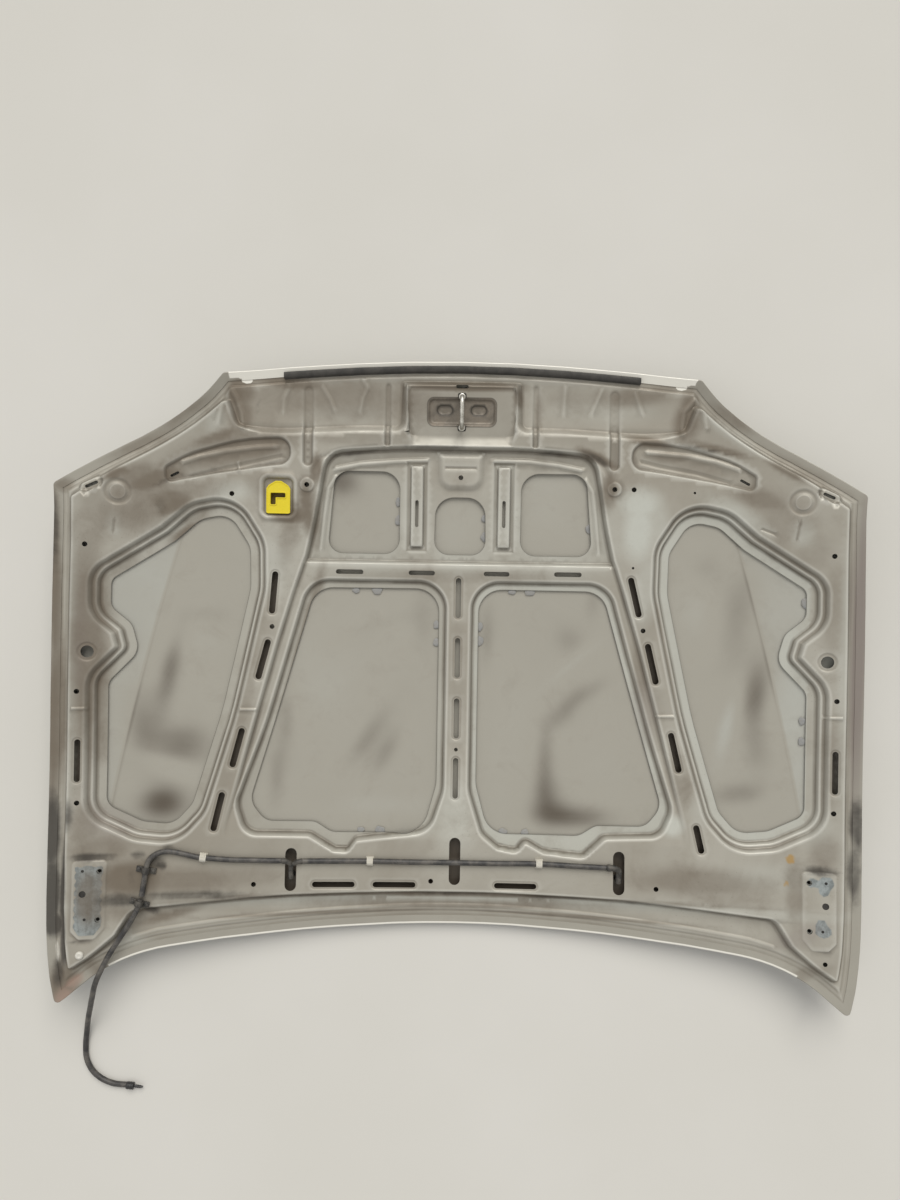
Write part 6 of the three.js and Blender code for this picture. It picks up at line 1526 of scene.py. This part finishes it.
left_start = supply_line[-1] + (0.7, 0, 0)
right_start = cross_line[-1] + (1.1, 0, 0)
branch = [(-284, -327, left_start[2] - 3), (-277, -323, left_start[2] - 0.5), cross_line[0] - (0.5, 0, 0)]
make_object("left_tee", *join(collared(drop_to_jet(JETS[0], left_start), 4.5, (True, True)),
                              collared(branch, 4.3, (False, True))), "fitting_rubber", ["hose_tee_left"])
make_object("right_elbow", *collared(drop_to_jet(JETS[1], right_start), 5.4, (True, True)), "fitting_rubber",
            ["hose_elbow_right"])

JET_PROFILE = [
    (0.1, -4.3), (4.5, -4.3), (7.6, -4.0), (9.4, -3.1), (10.0, -2.1), (9.8, -1.5), (5.0, -1.4), (4.5, -1.2),
    (4.5, 2.5), (5.0, 3.0), (5.0, 4.6), (4.5, 5.0), (4.5, 9.2), (3.4, 10.0), (2.8, 12.0), (3.2, 12.4), (2.6, 14.4),
    (0.1, 14.6),
]
NOZZLE_PROFILE = [(0.1, -5.2), (1.1, -5.2), (1.3, -4.9), (1.3, -4.0), (0.1, -4.0)]
for side, (x, y) in zip(("left", "right"), JETS):
    jet = join(lathe(JET_PROFILE, 32), shifted(lathe(NOZZLE_PROFILE, 16), 3.0, 4.0, 0.2))
    make_object(f"{side}_jet", *moved(jet, placed((x, y, float(skin_z(x, y))))), "jet_plastic",
                [f"washer_jet_{side}"])


# Clips and clamps
def panel_up(x, y):
    return Vector((-slope(panel_at, x, y, 12, 0), -slope(panel_at, x, y, 0, 6), 1)).normalized()


def on_hose(part, centre, direction, up):
    """Sets a holder drawn across the hose on the hose"""
    t = Vector(direction).normalized()
    n = (up - t * up.dot(t)).normalized()
    b = n.cross(t)
    return moved(part, placed(centre, Matrix((b, n, t)).transposed().to_4x4()))


def nearest_on(line, x, y):
    k = int(np.argmin(np.hypot(line[:, 0] - x, line[:, 1] - y)))
    k = min(max(k, 1), len(line) - 2)
    return line[k], line[k + 1] - line[k - 1]


BORE = HOSE_RADIUS + 0.35
BASE = -(HOSE_RADIUS + 1.0)


def arc(radius, start, end, steps):
    return [(radius * math.cos(math.radians(a)), radius * math.sin(math.radians(a)))
            for a in np.linspace(start, end, steps)]


CLIP_RING = [(-7.5, BASE), (7.5, BASE), (7.5, 1.6), *arc(7.5, 12, 168, 14), (-7.5, 1.6)]
CLIP_LATCH = [(-2.4, 6.4), (2.4, 6.4), (2.4, 8.6), (-2.4, 8.6)]
CLIP_FOOT = [(-7.4, BASE), (7.4, BASE), (7.4, BASE + 1.6), (-7.4, BASE + 1.6)]
for k, (x, y, line) in enumerate(((-442, -314.5, supply_line), (-151, -322, cross_line), (151, -322, cross_line))):
    body = shifted(plate([CLIP_RING, circle(BORE, 28)], 11, 0.8), 0, 0, -5.5)
    latch = shifted(plate([CLIP_LATCH], 7, 0.5), 4.2, -0.6, -3.5)
    foot = shifted(plate([CLIP_FOOT], 14, 0.4), 0, 0, -7)
    make_object(f"white_clip_{k + 1}", *on_hose(join(body, latch, foot), *nearest_on(line, x, y), panel_up(x, y)),
                "clip_plastic", [f"hose_clip_{k + 1}"])

CLAMP_RING = [
    (-17, BASE), (17, BASE), (17, BASE + 2), (15.5, BASE + 2.8), (8.4, BASE + 3.4), (7.4, BASE + 5), (7.3, 0),
    *arc(7.3, 8, 172, 14), (-7.3, 0), (-7.4, BASE + 5), (-8.4, BASE + 3.4), (-15.5, BASE + 2.8), (-17, BASE + 2),
]
RIVET_PROFILE = [(0.1, 2.6), (2.6, 2.6), (3.4, 3.2), (3.0, 4.2), (1.8, 4.7), (0.1, 4.8)]
RIVET_X = 12.4


def clamp_part():
    body = shifted(plate([CLAMP_RING, circle(BORE, 28)], 10, 0.8), 0, 0, -5)
    upright = Matrix.Rotation(-math.pi / 2, 4, "X")
    rivets = [moved(lathe(RIVET_PROFILE, 20), Matrix.Translation((s * RIVET_X, BASE, 0)) @ upright) for s in (1, -1)]
    return join(body, *rivets)


UPPER_CLAMP, LOWER_CLAMP = (-535.6, -335), (-540, -370)
make_object("upper_clamp", *on_hose(clamp_part(), *nearest_on(supply_line, *UPPER_CLAMP), panel_up(*UPPER_CLAMP)),
            "clamp_plastic", ["hose_clamp_upper"])
leave, arrive = np.array(FREE_ROUTE[:2])
make_object("lower_clamp", *on_hose(clamp_part(), (leave + arrive) / 2, arrive - leave, panel_up(*LOWER_CLAMP)),
            "clamp_plastic", ["hose_clamp_lower"])


# Prop socket: a face plate with an L shaped mouth over a closed box
FACE = [
    (-21, -27.5, 2), (-18, -29, 3), (18, -29, 3), (21, -27.5, 2), (21, 15, 4), (17, 21, 4), (5, 28.6, 4),
    (-5, 28.6, 4), (-17, 21, 4), (-21, 15, 4),
]
MOUTH = [(-13.5, 7.5, 2), (-13.5, -13, 2), (-4.5, -13, 2), (-4.5, -0.5, 1), (12.5, -0.5, 2), (12.5, 7.5, 2)]
SOCKET_GROUND = 0.9
FACE_DEPTH, RIM_AT = 3, 2.7
LIP_WIDTH, LIP_DEPTH = 2.2, 1.2
RIM_OUTER, RIM_INNER, RIM_DEPTH = 0.4, 2.2, 1
WELL_WALL, WELL_DEPTH = 1.6, 11
BOX, BOX_INNER, BOX_DEPTH = 32, 28.8, 12
BOX_FLOOR, BOX_FLOOR_DEPTH = 31.8, 1.4
# Painted shade in the socket: where it starts, over what depth and how dark
WELL_SHADE_FROM, WELL_SHADE_RUN, WELL_SHADE_MOST = 0.6, 4, 0.92


def build_socket():
    sx, sy = SOCKET_AT
    tilt_y = -math.atan(slope(skin_z, sx, sy, 25, 0))
    tilt_x = math.atan(slope(skin_z, sx, sy, 0, 25))
    level = (panel_at(sx + 18, sy) + panel_at(sx - 18, sy)) / 2 + FIT_GAP + SOCKET_GROUND
    face = rounded(FACE)
    ring = rounded(MOUTH)
    mouth = ring[::-1]
    whole = join(
        plate([face, mouth], FACE_DEPTH, 0.7),
        shifted(plate([offset(ring, -LIP_WIDTH), mouth], LIP_DEPTH, 0.4), 0, 0, RIM_AT),
        shifted(plate([offset(face, RIM_OUTER), offset(face, RIM_INNER)[::-1]], RIM_DEPTH, 0.3), 0, 0, RIM_AT),
        shifted(plate([offset(ring, -WELL_WALL), mouth], WELL_DEPTH, 0.2), 0, 0, -WELL_DEPTH),
        shifted(plate([flat_box(BOX, BOX, 2), flat_box(BOX_INNER, BOX_INNER, 1)[::-1]], BOX_DEPTH, 0.3),
                0, 0, -BOX_DEPTH),
        shifted(plate([flat_box(BOX_FLOOR, BOX_FLOOR, 2)], BOX_FLOOR_DEPTH, 0.3), 0, 0, -BOX_DEPTH),
    )
    place = placed((sx, sy, level), Matrix.Rotation(tilt_y, 4, "Y"), Matrix.Rotation(tilt_x, 4, "X"))
    obj = make_object("yellow_prop_socket", *moved(whole, place), "socket_plastic", ["prop_socket"])
    # Painted shade, darker the deeper inside the well and box
    paint_field(obj, "grime_and_shade", np.clip((WELL_SHADE_FROM - np.array(whole[0])[:, 2]) / WELL_SHADE_RUN, 0, WELL_SHADE_MOST))


build_socket()


# Blanking plug
PLUG_AT = (-641, -477)
PLUG_PROFILE = [
    (0.1, -5), (2.8, -5), (3.9, -3.6), (3.3, -1.2), (3.5, 0.9), (6.6, 1.0), (7.0, 1.6), (7.0, 2.6), (6.4, 4.2),
    (5.2, 5.4), (3.4, 6.0), (2.6, 5.6), (1.2, 5.4), (0.1, 5.4),
]


def build_plug():
    x, y = PLUG_AT
    lean = panel_up(x, y).to_track_quat("Z", "Y").to_matrix().to_4x4()
    part = moved(lathe(PLUG_PROFILE, 32), placed((x, y, panel_at(x + 7, y)), lean))
    make_object("white_plug", *part, "plug_plastic", ["blanking_plug"])


build_plug()

# Sealant lumps at the edges of the openings
LUMPS = [
    (-111, 318, 90), (-111, 285, 90), (43, 291, 90), (44, 258, 90), (232, 275, 90), (-186, 158, 0), (-148, 158, 0),
    (-40, 98, 90), (-40, 66, 90), (128, 160, 0), (96, 160, 0), (38, 96, 90), (39, 70, 90), (-170, -274, 0),
    (-136, -274, 0), (86, -274, 0), (126, -274, 0), (608, 148, 90), (608, -60, 90), (608, -96, 90),
]
LUMP_HALF = (8, 6)
LUMP_ABOVE_SKIN, LUMP_BELOW_PANEL = 0.75, 0.1
LUMP_ROWS, LUMP_SIDES = 9, 26


def lump(k, x, y, turn):
    """Squeezed bead of mastic, uneven round its edge"""
    low = SKIN_THICKNESS + FIT_GAP + LUMP_ABOVE_SKIN
    high = LEDGE - PANEL_THICKNESS - FIT_GAP - LUMP_BELOW_PANEL
    grow = 1 + 0.16 * math.sin(k * 2.3)
    rows, sides = LUMP_ROWS, LUMP_SIDES
    verts, faces = [], []
    cos, sin = math.cos(math.radians(turn)), math.sin(math.radians(turn))
    for r in range(rows + 1):
        tilt = math.pi * r / rows
        rise = (low + high) / 2 + (high - low) / 2 * math.cos(tilt)
        for s in range(sides):
            a = 2 * math.pi * s / sides
            wave = 1 + 0.07 * math.sin(3 * a + k) + 0.05 * math.sin(5 * a + 2.1 * k)
            reach = grow * wave * math.sin(tilt) ** 0.7
            px, py = LUMP_HALF[0] * reach * math.cos(a), LUMP_HALF[1] * reach * math.sin(a)
            qx, qy = x + px * cos - py * sin, y + px * sin + py * cos
            verts.append((qx, qy, float(skin_z(qx, qy)) + rise))
    for r in range(rows):
        for s in range(sides):
            a, b = r * sides + s, r * sides + (s + 1) % sides
            faces.append((a, a + sides, b + sides, b))
    return metres(verts), faces


for k, (x, y, turn) in enumerate(LUMPS):
    make_object(f"sealant_lump_{k + 1}", *lump(k, x, y, turn), "sealant", [f"sealant_blob_{k + 1}"])

# Hinge reinforcements and nuts keep their CAD shape
for side in ("left", "right"):
    for name, slot in ((f"hinge_reinforcement_{side}", "hinge_plate_steel"), (f"hinge_nut_{side}_1", "nut_steel"),
                       (f"hinge_nut_{side}_2", "nut_steel")):
        node = bpy.data.objects[name]
        for place in node.material_slots:
            place.material = finishes[slot]
        if not node.material_slots:
            node.data.materials.append(finishes[slot])


# Floor, light and backdrop
def build_stage():
    mesh = bpy.data.meshes.new("floor")
    mesh.from_pydata([(-6, -6, 0), (6, -6, 0), (6, 6, 0), (-6, 6, 0)], [], [(0, 1, 2, 3)])
    floor = linked("floor", mesh)
    f = Finish("floor_paint", Roughness=0.8, Specular_IOR_Level=0.2)
    f.colour(f.blend(f.span(f.noise(1.2, 4), 0.35, 0.7), (210, 207, 198), (214, 211, 203)))
    mesh.materials.append(f.material)


def soft_sun(name, towards, wide, strength, tint):
    """Even light from one side, as soft as a wide window"""
    data = bpy.data.lights.new(name, "SUN")
    data.angle = math.radians(wide)
    data.energy = strength
    data.color = tint
    linked(name, data).rotation_euler = Vector(towards).to_track_quat("Z", "Y").to_euler()


build_stage()
soft_sun("key", (0.12, 0.82, 0.9), 44, 2.15, (1.0, 0.985, 0.955))
soft_sun("side", (-1.0, -0.3, 1.2), 60, 0.3, (0.98, 0.985, 1.0))

world = bpy.data.worlds.new("studio")
bpy.context.scene.world = world
world.use_nodes = True
tree = world.node_tree
soft = tree.nodes["Background"]
soft.inputs["Color"].default_value = (0.96, 0.97, 1.0, 1)
soft.inputs["Strength"].default_value = 0.44
seen = tree.nodes.new("ShaderNodeBackground")
seen.inputs["Color"].default_value = srgb(216, 214, 206)
rays = tree.nodes.new("ShaderNodeLightPath")
seen_by = rays.outputs["Is Camera Ray"]
link = tree.links.new
for kind in ("Is Glossy Ray", "Is Transmission Ray"):
    either = tree.nodes.new("ShaderNodeMath")
    either.operation = "MAXIMUM"
    link(seen_by, either.inputs[0])
    link(rays.outputs[kind], either.inputs[1])
    seen_by = either.outputs[0]
pick = tree.nodes.new("ShaderNodeMixShader")
for k, source in enumerate((seen_by, soft.outputs[0], seen.outputs[0])):
    link(source, pick.inputs[k])
link(pick.outputs[0], tree.nodes["World Output"].inputs[0])
bpy.context.scene.view_settings.view_transform = "Standard"
